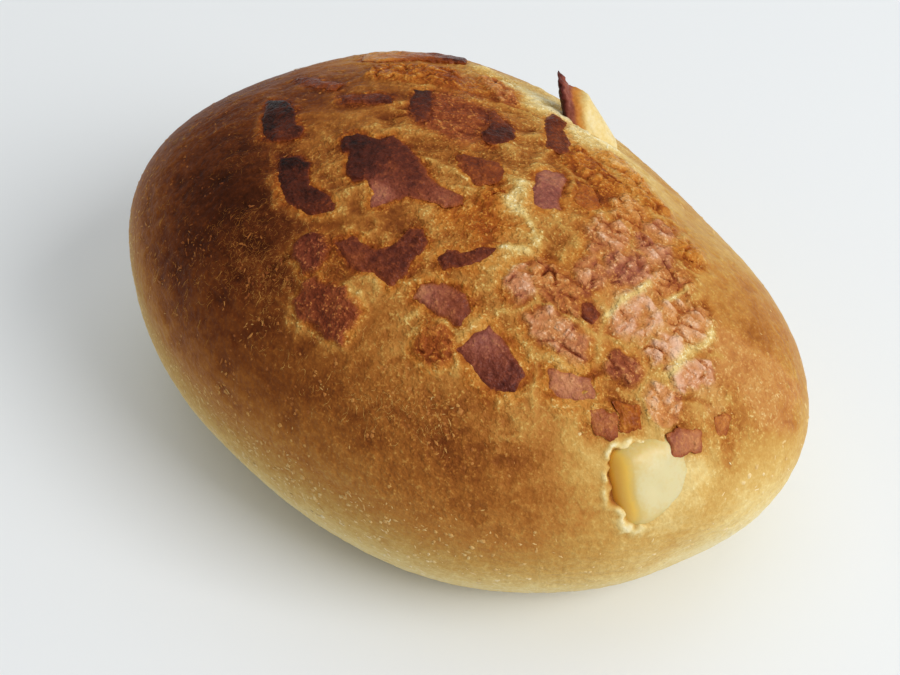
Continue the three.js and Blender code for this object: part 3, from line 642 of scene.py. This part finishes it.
def crown_surface(points):
    """Relief and colours of the crown at points of the plain skin, as (relief, lightness, paste, blush, crinkle).
    Toast, with painted light on the far side, gives the first lightness. In the stretched zone the skin is paler, with
    crumpled fibres whose tone, paler on their ridges and darker between, is partly pale fibre and partly painted light
    and shade.
    Films of batter, soft crumpled patches, veins midway between plates, seams, slits and the mouth over the filling
    each pull lightness to their own and add their own height. Puff tops of the patches carry a painted highlight, and
    their cracks and the slits painted shade."""
    # Stretched skin, in its zone and in a halo round each plate: fibres that run one way, over broad swells. The
    # fibres' tone, paler on their ridges and darker between, is partly pale fibre and partly painted light and shade.
    sway = FIBRE_SWAY * np.stack([grain(points, SWAY_SIZE, 51 + i) for i in range(3)], axis=-1)
    x, y = np.moveaxis(points[..., :2] + EDGE_SWAY * sway[..., :2], -1, 0)
    edge, which, second = plate_field(points[..., 0], points[..., 1])
    run = points[..., 0] * FIBRE_RUN[0] + points[..., 1] * FIBRE_RUN[1]
    along_run = np.stack([run * FIBRE_RUN[0], run * FIBRE_RUN[1], 0 * run], axis=-1)
    fibres = ridges(points - (1 - 1 / FIBRE_LENGTH) * along_run + sway, FIBRE_SIZES, 4)
    fibre_tone_and_shade = FIBRE_PALE_AND_SHADE * (fibres - RIDGE_MEAN)
    swells = grain(points * SWELL_DRAWN + sway, SWELL_SIZE, 5)
    zone = np.min([lobe_distance(x, y, lobe) for lobe in STRETCHED], axis=0) + layered(points, STRETCHED_FRAY, 55)
    halo = ease(edge * (1 + layered(points, HALO_FRAY, 56)), *HALO_REACH) * between(HALO_SHARE, ease(x, *HALO_FADE))
    stretched = np.maximum(ease(zone, STRETCHED_SOFT, -STRETCHED_SOFT), halo)
    lightness = toast_and_lit_lightness(points)
    paleness = between(STRETCHED_PALENESS, ease(x, *STRETCHED_PALER))
    lightness += stretched * (paleness - lightness) * ease(lightness, *STRETCHED_BELOW)
    lightness += (fibre_tone_and_shade + SWELL_PALE * swells) * between((UNSTRETCHED_TONE, 1), stretched)

    # Films of batter, the broad ones and the one round each plate. They lie smooth over the fibres.
    paste, blush, smooth = np.zeros((3, *lightness.shape))
    for light, share, pinkness, lobe in FILMS:
        cover = ease(lobe_distance(x, y, lobe) + layered(points, FILM_FRAY, 59), FILM_SOFT, -FILM_SOFT)
        lightness += cover * (light + FAINT_FIBRES * fibre_tone_and_shade - lightness)
        paste, smooth = np.maximum(paste, share * cover), np.maximum(smooth, FILM_SMOOTH * cover)
        blush += cover * (pinkness - blush)
    reach = between(FILM_REACH, ease(x, *FILM_WIDER)) * (1 + layered(points, FILM_REACH_FRAY, 57))
    film = ease(edge / reach, *FILM_EDGE) * between(FILM_SHARE, ease(x, *FILM_THINNER))
    lightness -= FILM_DARK * film
    paste, smooth = np.maximum(paste, FILM_PASTE * film), np.maximum(smooth, FILM_SMOOTH * film)
    relief = FIBRE_DEPTH * fibres * (1 - smooth) + SWELL_DEPTH * swells
    relief = relief * between((UNSTRETCHED_DEPTH, 1), stretched) + FILM_RISE * film

    # Soft patches, puffed between their creases and cracked unless they are burnt. Puff tops are paler and pinker with
    # a painted highlight, and cracks darker with painted shade. Skin sinks under a hard plate.
    tone, pinkness, _ = plate_tone(points, which)
    patch = ease(edge + layered(points, PATCH_FRAY, 63), PATCH_SOFT, -PATCH_SOFT) * ~plate_hard[which]
    crumpled = ease(tone, *PATCH_CRUMPLED)
    puffs = (RIDGE_MEAN - ridges(points + CRUMPLE_SWAY * sway, CRUMPLE_SIZES, 62)) * crumpled
    crack = cracks(x, y, CRACK_SIZE, 64) * crumpled * ease(grain(points, CRACK_BREAKS, 68), *CRACK_WHOLE)
    lightness += patch * (tone + CRUMPLE_HIGHLIGHT * puffs + CRACK_SHADE * (CRACK_SHADE_MEAN - crack) - lightness)
    blush += patch * (np.clip(pinkness * (BLUSH_GAIN + puffs - CRACK_BLUSH * crack), 0, 1) - blush)
    relief += patch * (PATCH_RISE + CRUMPLE_DEPTH * puffs + CRACK_DEPTH * (CRACK_DEPTH_MEAN - crack))
    relief -= SKIN_SINK * ease(edge, *SINK_EDGE) * plate_hard[which]

    # Veins where two plates are equally near, seams with a glow beside them, and slits, darkened with painted shade.
    vein_width = VEIN_WIDTH * (1 + layered(points, VEIN_FRAY, 66))
    vein = np.exp(-((second - edge) / vein_width) ** 2) * ease(second + edge, *VEIN_SPAN) * ease(x, *VEIN_FADE)
    vein *= ease(grain(points, VEIN_BREAKS, 67), *VEIN_WHOLE) * ease(edge, *VEIN_CLEAR)
    seam, glow, slit = [line_nearness(x, y, lines, spread)
                        for lines, spread in ((SEAMS, 1), (SEAMS, GLOW_SPREAD), (SLITS, 1))]
    lightness += GLOW_SHARE * glow * np.maximum(GLOW_PALENESS - lightness, 0) * between((1, GLOW_ON_PATCH), patch)
    lightness += (VEIN_COVER * vein * (VEIN_PALENESS - lightness)
                  + seam * (SEAM_PALENESS + FAINT_FIBRES * fibre_tone_and_shade - lightness))
    lightness -= SLIT_SHADE * slit
    paste = np.maximum(paste, patch) * (1 - VEIN_COVER * vein) * (1 - seam)
    relief += VEIN_RISE * vein + SEAM_RISE * seam - SLIT_DEPTH * slit + wrinkles(points, 1 - stretched)

    # Mouth over the filling: ragged on the left and above, and closed by a thin skin at its other corner.
    across, up, _ = np.moveaxis((points - pocket_middle) @ lump_axes.T, -1, 0)
    left = np.maximum(ease(across, *MOUTH_LEFT), ease(up, *MOUTH_TOP) * ease(across, *MOUTH_TOP_LEFT))
    mouth = outline_distance(points[..., 0], points[..., 1], MOUTH)
    mouth += layered(points, MOUTH_FRAY, 71) * between(MOUTH_FRAYED, left)
    soft = MOUTH_SOFT * (1 - left)
    opened, near = ease(mouth, MOUTH_WALL[0] + soft, MOUTH_WALL[1] - soft), ease(mouth, ROUND_REACH, 0)
    torn = left * ease(grain(points, LIP_TEARS, 72), *LIP_WHOLE)
    lip = np.exp(-((mouth - LIP_WIDTH) / LIP_WIDTH) ** 2) * between(LIP_TORN, torn)
    bare = 1 - ease(edge, *BARE_EDGE) * plate_hard[which]
    relief *= 1 - ROUND_SMOOTH * near
    relief += SKIN_OVER * ease(pocket_distance(points), *SKIN_OVER_EDGE) * (1 - opened) * (1 - left) * bare
    relief += LIP_RISE * lip - between(MOUTH_DEPTH, left) * opened
    lightness += (near * (1 - ROUND_LEFT * left) * (ROUND_PALENESS - lightness) * (1 - paste)
                  + lip * torn * (LIP_PALENESS - lightness))
    lightness += opened * (between(MOUTH_FLOOR, left) - lightness)
    paste = paste * (1 - lip * left) * (1 - opened)

    crinkle = np.maximum(stretched, np.maximum(patch, film))
    for at, reach, amount in CRINKLED:
        crinkle = np.maximum(crinkle, amount * bell(points, at, reach))
    return relief, lightness, paste, blush, crinkle * (1 - ROUND_CRINKLE * near)


crown_along = np.linspace(*ALONG_ANGLES[1:3], CROWN_ROWS)
crown_around = np.interp(np.arange(CROWN_COLUMN_STEPS[-1] + 1), CROWN_COLUMN_STEPS, CROWN_COLUMN_ANGLES)
crown, crown_out = skin_grid(crown_along, crown_around)
relief, crown_lightness, crown_paste, crown_blush, crown_crinkle = crown_surface(crown)
rim_along = np.minimum(crown_along - ALONG_ANGLES[1], ALONG_ANGLES[2] - crown_along)[:, None]
rim_around = np.minimum(crown_around - AROUND_ANGLES[0], AROUND_ANGLES[1] - crown_around)[None, :]
inside = ease(np.minimum(rim_along, rim_around), 0, WRINKLE_FADE)
rim_lightness = toast_and_lit_lightness(crown)
crown_lightness = rim_lightness + inside * (crown_lightness - rim_lightness)
crown += crown_out * (relief * inside)[..., None]
index = np.arange(crown[..., 0].size).reshape(crown.shape[:2])
rim = np.concatenate([index[0, :-1], index[:-1, -1], index[-1, :0:-1], index[:0:-1, 0]])
skirt = crown.reshape(-1, 3)[rim] - CROWN_SKIRT * crown_out.reshape(-1, 3)[rim]
below = index.size + np.arange(len(rim))
walls = np.stack([np.roll(rim, -1), rim, below, np.roll(below, -1)], axis=-1)
fan = np.stack([np.roll(below, -1), below, np.full(len(rim), index.size + len(rim))], axis=-1)


def with_rim(field):
    """A field of the crown's grid, carried on to its skirt and to the hidden point that closes it."""
    hidden = 0.5
    return np.concatenate([field.ravel(), field.ravel()[rim], [hidden]])


crown_piece = add_piece("paste_crown", np.vstack([crown.reshape(-1, 3), skirt, [LOAF_MIDDLE]]),
                        [*grid_faces(*index.shape, False).tolist(), *walls.tolist(), *fan.tolist()], wheat_crust,
                        lightness=with_rim(crown_lightness), paste=with_rim(crown_paste * inside),
                        blush=with_rim(crown_blush), crinkle=with_rim(crown_crinkle * inside))
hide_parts("bread")


# Paste plates: the pieces that the dried batter broke into, hard, under a millimetre thick and baked fast to the
# skin. They are darkest where they are thickest or stood up to the heat, and some ends curl.
PLATE_STEP, PLATE_RISE, PLATE_WALL, PLATE_SINK, PLATE_ROUND = 0.2, 0.42, 0.16, 0.6, 0.7
PLATE_ROUGH, PLATES_FROM, PLATES_TO = [(0.18, 2), (0.08, 0.9)], (-43, -36), (53, 32)
PLATE_EDGE_TONE, PLATE_EDGE, LEAST_INSET, LEAST_SLOPE, EDGE_STEPS = 0.36, (0.55, -0.3), 0.35, 0.3, 2

plan_x, plan_y = np.meshgrid(np.arange(PLATES_FROM[0], PLATES_TO[0], PLATE_STEP),
                             np.arange(PLATES_FROM[1], PLATES_TO[1], PLATE_STEP), indexing="ij")
edge, which, _ = plate_field(plan_x, plan_y)
within = (edge < -LEAST_INSET * PLATE_STEP) & plate_hard[which]
cells = grid_faces(*plan_x.shape, False)
cells = cells[within.ravel()[cells].any(axis=1)]
used, cells = np.unique(cells, return_inverse=True)
cells = cells.reshape(-1, 4)
plan = np.stack([plan_x.ravel()[used], plan_y.ravel()[used]], axis=-1)
which = which.ravel()[used]
slope = np.stack(np.gradient(edge, PLATE_STEP), axis=-1).reshape(-1, 2)[used]
outer = ~within.ravel()[used]
# Points of the grid just outside a plate move onto its edge, down the slope of the distance.
for _ in range(EDGE_STEPS):
    over = plate_field(plan[outer, 0], plan[outer, 1])[0]
    step = over[:, None] * slope[outer] / np.maximum(np.sum(slope[outer] ** 2, axis=1, keepdims=True), LEAST_SLOPE)
    plan[outer] -= np.clip(step, -PLATE_STEP, PLATE_STEP)
inset = np.where(outer, 0, -edge.ravel()[used])
base = skin_over(plan[:, 0], plan[:, 1])
base_out = skin_normal(plan[:, 0], plan[:, 1])

plate_lightness, plate_blush, run = plate_tone(base, which)
thin_edge = ease(inset, *PLATE_EDGE)
plate_lightness += thin_edge * (PLATE_EDGE_TONE - plate_lightness)
lift = np.array([plate[3] for plate in PLATES] + [0] * len(PATCHES))[which] * run ** 2
height = between((PLATE_WALL, PLATE_RISE), ease(inset, 0, PLATE_ROUND)) + lift
height += layered(base, PLATE_ROUGH, 11) * ease(inset, 0, PLATE_ROUND)
top = base + base_out * height[:, None]
under = base - base_out * PLATE_SINK

# The wall stands on the sides that only one face has.
sides = np.stack([cells, np.roll(cells, -1, axis=1)], axis=-1).reshape(-1, 2)
_, first, count = np.unique(np.sort(sides, axis=1), axis=0, return_index=True, return_counts=True)
brink = sides[first[count == 1]]
down_to = len(plan)
plate_walls = np.stack([brink[:, 1], brink[:, 0], brink[:, 0] + down_to, brink[:, 1] + down_to], axis=-1)
paste_crust = baked_crust("rice_paste_crust_crackled", mottle=0.12, speck=0.06, crumple=0.4, shine=0.1)
plates = add_piece("paste_plates", np.vstack([top, under]),
                   np.vstack([cells, cells[:, ::-1] + down_to, plate_walls]).tolist(), paste_crust,
                   lightness=np.tile(plate_lightness, 2), paste=np.ones(2 * down_to),
                   blush=np.tile(plate_blush * (1 - thin_edge), 2), crinkle=np.ones(2 * down_to))
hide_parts("bread")


# Threads: where the batter was thinnest it dried to lacy threads on the skin, less than a tenth of a millimetre
# thick. They lie thickest below the plates on the left, and a few lie between the plates and along the front.
THREADS, THREAD_TRIES, THREAD_POINTS, THREAD_SIDES = 4600, 60000, 7, 3
THREAD_THICK, THREAD_FLAT, THREAD_LONG, THREAD_CURL = (0.011, 0.032), 1.4, (0.5, 2.4), 0.6
THREAD_FROM, THREAD_TO, THREAD_RIM, CROWN_SHIFT = (-48, -40), (40, 22), 0.9, (6, 2)
THREAD_PALE, THREAD_PALER, THREAD_PASTE, THREAD_ENDS = (0.5, 0.68), 0.25, 0.3, (0.08, 0.92)
LACES = [(1, (-30, -19, -6, -34, 10)), (0.4, (12, -38, 25, -31, 5))]
LACE_SOFT, LACE_SHARE, LACE_LEAST, LACE_GAPS, LACE_WHOLE, LACE_CLEAR = (5, -4), 0.9, 0.1, 5, (-0.6, 0.4), (0.2, 0.6)

draw = np.random.default_rng(17)
start = draw.uniform(THREAD_FROM, THREAD_TO, (THREAD_TRIES, 2))
edge = plate_field(start[:, 0], start[:, 1])[0]
flat_start = np.hstack([start, 0 * start[:, :1]])
lacy = np.max([amount * ease(lobe_distance(start[:, 0], start[:, 1], lobe), *LACE_SOFT) for amount, lobe in LACES],
              axis=0)
share = ease(edge, *LACE_CLEAR) * np.maximum(LACE_SHARE * lacy, LACE_LEAST)
share = share * ease(grain(flat_start, LACE_GAPS, 58), *LACE_WHOLE)
within = plan_size(*np.moveaxis((start + CROWN_SHIFT) / (HALF_LENGTH, HALF_WIDTH), -1, 0)) < THREAD_RIM
start = start[within & (draw.uniform(size=len(start)) < share)][:THREADS]
heading = draw.uniform(0, 2 * np.pi, (len(start), 1)) + THREAD_CURL * np.cumsum(
    draw.normal(size=(len(start), THREAD_POINTS)), axis=1)
pace = draw.uniform(*THREAD_LONG, (len(start), 1, 1)) / THREAD_POINTS
path = start[:, None, :] + np.cumsum(pace * np.stack([np.cos(heading), np.sin(heading)], axis=-1), axis=1)
thread = skin_over(path[..., 0], path[..., 1])
thread_out = skin_normal(path[..., 0], path[..., 1])
thread_relief, thread_lightness, thread_paste, thread_blush, _ = crown_surface(thread)
thread += thread_out * thread_relief[..., None]
sideways = np.cross(thread_out, unit(np.gradient(thread, axis=1)))
taper = np.sin(np.pi * np.linspace(*THREAD_ENDS, THREAD_POINTS))
thick = draw.uniform(*THREAD_THICK, (len(start), 1)) * taper
corner = np.arange(THREAD_SIDES) * 2 * np.pi / THREAD_SIDES
ring = (thread[:, :, None, :]
        + (thick[..., None] * np.cos(corner))[..., None] * sideways[:, :, None, :] * THREAD_FLAT
        + (thick[..., None] * np.sin(corner))[..., None] * thread_out[:, :, None, :])
thread_points = np.concatenate([thread[:, :1], ring.reshape(len(start), -1, 3), thread[:, -1:]], axis=1)


def repeated_faces(copies, rows, columns):
    """Faces of many copies of one grid with capped ends, whose points follow one another: all the quads, then all the
    triangles."""
    one = capped_faces(rows, columns)
    shift = np.arange(copies)[:, None, None] * (rows * columns + 2)
    return [face for sides in (4, 3)
            for face in (np.array([face for face in one if len(face) == sides]) + shift).reshape(-1, sides).tolist()]


def along_thread(field):
    """A field at the points of each thread, carried on to the corners round each point and to both ends."""
    return np.hstack([field[:, :1], np.repeat(field, THREAD_SIDES, axis=1), field[:, -1:]])


threads = add_piece("batter_threads", thread_points.reshape(-1, 3),
                    repeated_faces(len(start), THREAD_POINTS, THREAD_SIDES), wheat_crust,
                    lightness=along_thread(np.clip(thread_lightness + THREAD_PALER, *THREAD_PALE)),
                    paste=along_thread(THREAD_PASTE * thread_paste), blush=along_thread(thread_blush))
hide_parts("bread")


# Flap: a blade of the top crust that peeled up on the far side while the dough still rose. Its left edge is thin
# and dark, and dough drew up behind it as a thick pale root.
FLAP_FOOT, FLAP_HEIGHT, FLAP_SUNK = (-2.6, 26.2), 6.2, 5
FLAP_ACROSS, FLAP_ALONG = np.array([0.75, 0.66, 0]), np.array([-0.66, 0.75, 0])
FLAP_RISING = unit(np.array([-0.45, 0.45, 0.77]))
FLAP_ROOT, FLAP_BLADE, FLAP_SHOULDER, FLAP_DEPTH = (8.6, 2.6), 1.5, (0.69, 0.81), (8.2, 3)
FLAP_TIP, FLAP_TIP_NARROWER, FLAP_CURL = (0.89, 1), 0.6, 0.8
FLAP_ROWS, FLAP_COLUMNS, FLAP_POWER = 90, 96, 2.6
FLAP_RAGGED, FLAP_RAGGED_FROM = [(0.45, 1.6), (0.2, 0.6)], (0.45, 0.84)
# From its burnt left edge it turns lighter by each amount between two distances, and the paste and its blush end.
FLAP_BURNT, FLAP_LIGHTER = 0.2, [(0.2, 0.3, 1.2), (0.14, 1.7, 2.6), (0.28, 2.4, 4.4)]
FLAP_PASTE, FLAP_BLUSH, FLAP_BLUSH_END = (4, 2.4), 0.9, (2.6, 1.6)
# In the middle of its foot and of its tip.
END_LIGHTNESS, END_PASTE, END_BLUSH = (0.4, 0.25), (1, 1), (0, 0.5)

share = np.linspace(0, 1, FLAP_ROWS)[:, None]
section = np.radians(np.arange(FLAP_COLUMNS) * 360 / FLAP_COLUMNS)[None, :]
blunt = (np.abs(np.cos(section)) ** FLAP_POWER + np.abs(np.sin(section)) ** FLAP_POWER) ** (-1 / FLAP_POWER)
width = between((between(FLAP_ROOT, share), FLAP_BLADE), ease(share, *FLAP_SHOULDER))
width *= 1 - FLAP_TIP_NARROWER * ease(share, *FLAP_TIP)
depth = between(FLAP_DEPTH, share)
across = (blunt * np.cos(section) + 1) / 2
flap = (skin_over(np.array(FLAP_FOOT[0]), np.array(FLAP_FOOT[1]))
        + (across * width - FLAP_CURL * share ** 2)[..., None] * FLAP_ACROSS
        + (blunt * np.sin(section) * depth / 2)[..., None] * FLAP_ALONG
        + (share * (FLAP_HEIGHT + FLAP_SUNK) - FLAP_SUNK + 0 * across)[..., None] * FLAP_RISING)
for push, size in FLAP_RAGGED:
    flap = flap + push * ease(share, *FLAP_RAGGED_FROM)[..., None] * np.stack(
        [grain(flap, size, 21 + i) for i in range(3)], axis=-1)
flap_across = across * width
flap_lightness = FLAP_BURNT + sum(amount * ease(flap_across, start, stop) for amount, start, stop in FLAP_LIGHTER)
flap_paste, flap_blush = ease(flap_across, *FLAP_PASTE), FLAP_BLUSH * ease(flap_across, *FLAP_BLUSH_END)
flap_ends = np.stack([flap[0].mean(axis=0), flap[-1].mean(axis=0)])
flap_piece = add_piece("crust_flap", capped(flap_ends, flap), capped_faces(FLAP_ROWS, FLAP_COLUMNS), paste_crust,
                       lightness=capped(END_LIGHTNESS, flap_lightness), paste=capped(END_PASTE, flap_paste),
                       blush=capped(END_BLUSH, flap_blush))
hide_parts("bread")


# Blisters: tiny gas bubbles and wisps of skin that swelled or peeled in the oven's heat and dried pale, each well
# under a millimetre wide. They are thickest on the left end and along the front.
BLISTERS, BLISTER_TRIES, BLISTER_SPREAD, BLISTER_SIDES = 4600, 40000, (1, 1, 0.9), 8
BLISTER_RADIUS, BLISTER_FEW_LARGE, BLISTER_RISE, BLISTER_STRETCH, STRETCH_BELOW = (0.06, 0.46), 2.8, 0.35, 5, (0.3, 0.1)
LEFT_SMALLER, LEFT_FADE, OUTLINE_UNEVEN = 0.55, (-25, 5), (0.6, 1.4)
# Crowding: the least share, then where it grows towards the front, the left and the top, and what it keeps clear of.
CROWD_LEAST, CROWD_FRONT, CROWD_LEFT, CROWD_UP = 0.12, (-5, 20), (-45, 0), (7, 23)
CLEAR_OF_POCKET, CLEAR_OF_STRETCHED = 3, (-2, 6)
BLISTER_PALER, SMALL_PALER, SMALL_BELOW, BLISTER_PASTE, BLISTER_BLUSH = (0.04, 0.17), 0.12, (0.2, 0.08), 0.25, 0.6

draw = np.random.default_rng(31)
way = unit(draw.normal(size=(BLISTER_TRIES, 3)) * BLISTER_SPREAD)
spot = loaf_point(way)
crowding = between((CROWD_LEAST, 1), ease(-spot[:, 1], *CROWD_FRONT) * ease(-spot[:, 0], *CROWD_LEFT))
crowding *= ease(spot[:, 2], *CROWD_UP) * (pocket_distance(spot) > CLEAR_OF_POCKET)
crowding *= ease(np.min([lobe_distance(spot[:, 0], spot[:, 1], lobe) for lobe in STRETCHED], axis=0),
                 *CLEAR_OF_STRETCHED)
kept = np.flatnonzero(draw.uniform(size=len(spot)) < crowding)[:BLISTERS]
spot, way = spot[kept], way[kept]
not_along, tilt = (0.3, 0.2, 0.93), 0.01
aside = unit(np.cross(way, not_along))
tangent = loaf_point(way + tilt * aside) - spot
cotangent = loaf_point(way + tilt * np.cross(way, aside)) - spot
spot_out = unit(np.cross(tangent, cotangent))
spot_out *= np.sign(np.sum(spot_out * (spot - LOAF_MIDDLE), axis=1, keepdims=True))
heading = draw.uniform(0, 2 * np.pi, len(spot))[:, None]
tangent = unit(tangent)
cotangent = np.cross(spot_out, tangent)
tangent, cotangent = (np.cos(heading) * tangent + np.sin(heading) * cotangent,
                      np.cos(heading) * cotangent - np.sin(heading) * tangent)
radius = between(BLISTER_RADIUS, draw.uniform(size=len(spot)) ** BLISTER_FEW_LARGE)
radius *= between((LEFT_SMALLER, 1), ease(spot[:, 0], *LEFT_FADE))
stretch = between((1, BLISTER_STRETCH), draw.uniform(size=len(spot)) * ease(radius, *STRETCH_BELOW))
# From its top down, how far out and how high a blister is, against its radius and its rise.
corner = np.arange(BLISTER_SIDES) * 2 * np.pi / BLISTER_SIDES
top, shoulder, foot, under = (0, 1), (0.6, 0.72), (1, -0.25), (0, -0.3)
profile = np.array([top, *[shoulder] * BLISTER_SIDES, *[foot] * BLISTER_SIDES, under])
angles = np.concatenate([[0], corner, corner, [0]])
uneven = profile[:, 0] * draw.uniform(*OUTLINE_UNEVEN, (len(spot), len(profile)))
blister = (spot[:, None, :]
           + (radius[:, None] * stretch[:, None] * uneven * np.cos(angles))[..., None] * tangent[:, None, :]
           + (radius[:, None] * uneven * np.sin(angles))[..., None] * cotangent[:, None, :]
           + (BLISTER_RISE * radius[:, None] * profile[:, 1])[..., None] * spot_out[:, None, :])
blister_lightness = toast_and_lit_lightness(spot) + draw.uniform(*BLISTER_PALER, len(spot))
blister_lightness += SMALL_PALER * ease(radius, *SMALL_BELOW)
blister_lightness = np.repeat(blister_lightness, len(profile))
blisters = add_piece("crust_blisters", blister.reshape(-1, 3), repeated_faces(len(spot), 2, BLISTER_SIDES), wheat_crust,
                     lightness=blister_lightness, paste=np.full(blister_lightness.shape, BLISTER_PASTE),
                     blush=np.full(blister_lightness.shape, BLISTER_BLUSH))
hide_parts("bread")


# Filling: a rounded lump of pale set filling that swelled out through the crust near one end, smooth where it
# broke the skin and toasted on the side that stood open in the oven.
LUMP_ROWS, LUMP_COLUMNS = 90, 120
LUMP_PALENESS, LUMP_TOAST, LUMP_TOASTED, LUMP_RIM, LUMP_RIM_TONE_AND_HIGHLIGHT = 0.89, 0.42, (0.6, 0.95), (0.35, 1), 0.14
LUMP_TONE, LUMP_ROUGH, LUMP_ENDS_LIGHTNESS = [(0.06, 3)], [(0.12, 2)], (0.9, 0.6)
FILLING_STOPS = [(0.3, "#e6a634"), (0.6, "#e6ba4e"), (0.8, "#cfb162"), (0.95, "#d3c593")]
FILLING_GRAIN, FILLING_DETAIL, FILLING_MOTTLE, FILLING_ROUGHNESS = 0.6, 3, 0.14, 0.42
FILLING_GLOW, FILLING_GLOW_TINT, FILLING_DEPTH = 0.3, (1, 0.6, 0.3), 1.5


def filling_material():
    """Sweet cream filling, set and baked: smooth, faintly moist and a little see-through, toasted golden on its open
    side."""
    material = bpy.data.materials.new("cream_filling_baked_set")
    material.use_nodes = True
    tree = material.node_tree
    place = add_node(tree, "TexCoord").outputs["Object"]
    field = add_node(tree, "Attribute", attribute_name="lightness").outputs["Fac"]
    specks = add_node(tree, "TexNoise", {"Vector": place, "Scale": 1 / (FILLING_GRAIN * MM),
                                         "Detail": FILLING_DETAIL}).outputs["Fac"]
    uneven = add_node(tree, "Math", {0: specks, 1: FILLING_MOTTLE, 2: field}, operation="MULTIPLY_ADD").outputs[0]
    colour = add_node(tree, "ValToRGB", {"Fac": uneven}, FILLING_STOPS).outputs["Color"]
    shader = tree.nodes["Principled BSDF"]
    shader.inputs["Roughness"].default_value = FILLING_ROUGHNESS
    shader.inputs["Subsurface Weight"].default_value = FILLING_GLOW
    shader.inputs["Subsurface Radius"].default_value = FILLING_GLOW_TINT
    shader.inputs["Subsurface Scale"].default_value = FILLING_DEPTH * MM
    tree.links.new(colour, shader.inputs["Base Color"])
    return material


down = np.radians(np.linspace(0, 180, LUMP_ROWS + 2))[:, None]
round_it = np.radians(np.arange(LUMP_COLUMNS) * 360 / LUMP_COLUMNS)[None, :]
ball = np.stack(np.broadcast_arrays(np.sin(down) * np.cos(round_it), np.sin(down) * np.sin(round_it),
                                    np.cos(down)), axis=-1)
ball /= np.sum(np.abs(ball) ** LUMP_POWER, axis=-1, keepdims=True) ** (1 / LUMP_POWER)
lump_middle = lump_foot + (LUMP_PROUD - LUMP_HALF[2]) * lump_out
lump = lump_middle + ball * LUMP_HALF @ lump_axes
lump_lightness = LUMP_PALENESS - LUMP_TOAST * ease(-ball[..., 0], *LUMP_TOASTED) + layered(lump, LUMP_TONE, 81)
# The face is paler in its middle than round its rim: partly a yellower rim, partly a painted highlight on the middle.
lump_lightness -= LUMP_RIM_TONE_AND_HIGHLIGHT * ease(np.hypot(ball[..., 0], ball[..., 1]), *LUMP_RIM)
lump = lump + layered(lump, LUMP_ROUGH, 82)[..., None] * lump_out
filling = add_piece("filling_lump_face", capped(lump[[0, -1], 0], lump[1:-1]), capped_faces(LUMP_ROWS, LUMP_COLUMNS),
                    filling_material(), lightness=capped(LUMP_ENDS_LIGHTNESS, lump_lightness[1:-1]))
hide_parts("filling_lump")


# Stage: a plain pale floor, one large soft light from the right and a weaker one overhead, and the camera where the
# roll is seen from above its long side.
FLOOR_HALF, FLOOR_COLOUR, FLOOR_ROUGHNESS = 3, "#ebeeef", 0.8
floor_mesh = bpy.data.meshes.new("floor")
floor_mesh.from_pydata(np.array([[-1, -1, 0], [1, -1, 0], [1, 1, 0], [-1, 1, 0]]) * FLOOR_HALF, [], [[0, 1, 2, 3]])
floor_paint = bpy.data.materials.new("floor_matt_pale")
floor_paint.use_nodes = True
floor_paint.node_tree.nodes["Principled BSDF"].inputs["Base Color"].default_value = linear(FLOOR_COLOUR)
floor_paint.node_tree.nodes["Principled BSDF"].inputs["Roughness"].default_value = FLOOR_ROUGHNESS
floor_mesh.materials.append(floor_paint)
floor = bpy.data.objects.new("floor", floor_mesh)
bpy.context.scene.collection.objects.link(floor)

# Each soft light is its place in metres, which it shines back from, its size and its power.
for name, at, size, power in [("window_soft", Vector((1.128, 0.216, 0.936)), 0.86, 16.2),
                              ("ceiling_soft", Vector((-0.2, 0.4, 1.4)), 1.6, 5)]:
    light = bpy.data.objects.new(name, bpy.data.lights.new(name, "AREA"))
    light.data.size, light.data.energy = size, power
    light.location, light.rotation_euler = at, at.to_track_quat("Z", "Y").to_euler()
    bpy.context.scene.collection.objects.link(light)

WORLD_COLOUR, WORLD_STRENGTH = "#eef0f2", 0.48
world = bpy.data.worlds.new("room_soft")
world.use_nodes = True
world.node_tree.nodes["Background"].inputs["Color"].default_value = linear(WORLD_COLOUR)
world.node_tree.nodes["Background"].inputs["Strength"].default_value = WORLD_STRENGTH
bpy.context.scene.world = world
bpy.context.scene.view_settings.view_transform = "Standard"

CAMERA_TURN, CAMERA_RISE, CAMERA_DISTANCE, CAMERA_AT = 41.17, 46.67, 262.2, Vector((0.36, -5.13, 20))
SENSOR_WIDTH, LENS = 36, 64
turn, rise = np.radians([CAMERA_TURN, CAMERA_RISE])
back = Vector((np.sin(turn) * np.cos(rise), -np.cos(turn) * np.cos(rise), np.sin(rise)))
camera = bpy.data.objects.new("camera", bpy.data.cameras.new("camera"))
camera.data.sensor_width, camera.data.lens = SENSOR_WIDTH, LENS
camera.location = (CAMERA_AT + CAMERA_DISTANCE * back) * MM
camera.rotation_euler = back.to_track_quat("Z", "Y").to_euler()
bpy.context.scene.collection.objects.link(camera)
bpy.context.scene.camera = camera
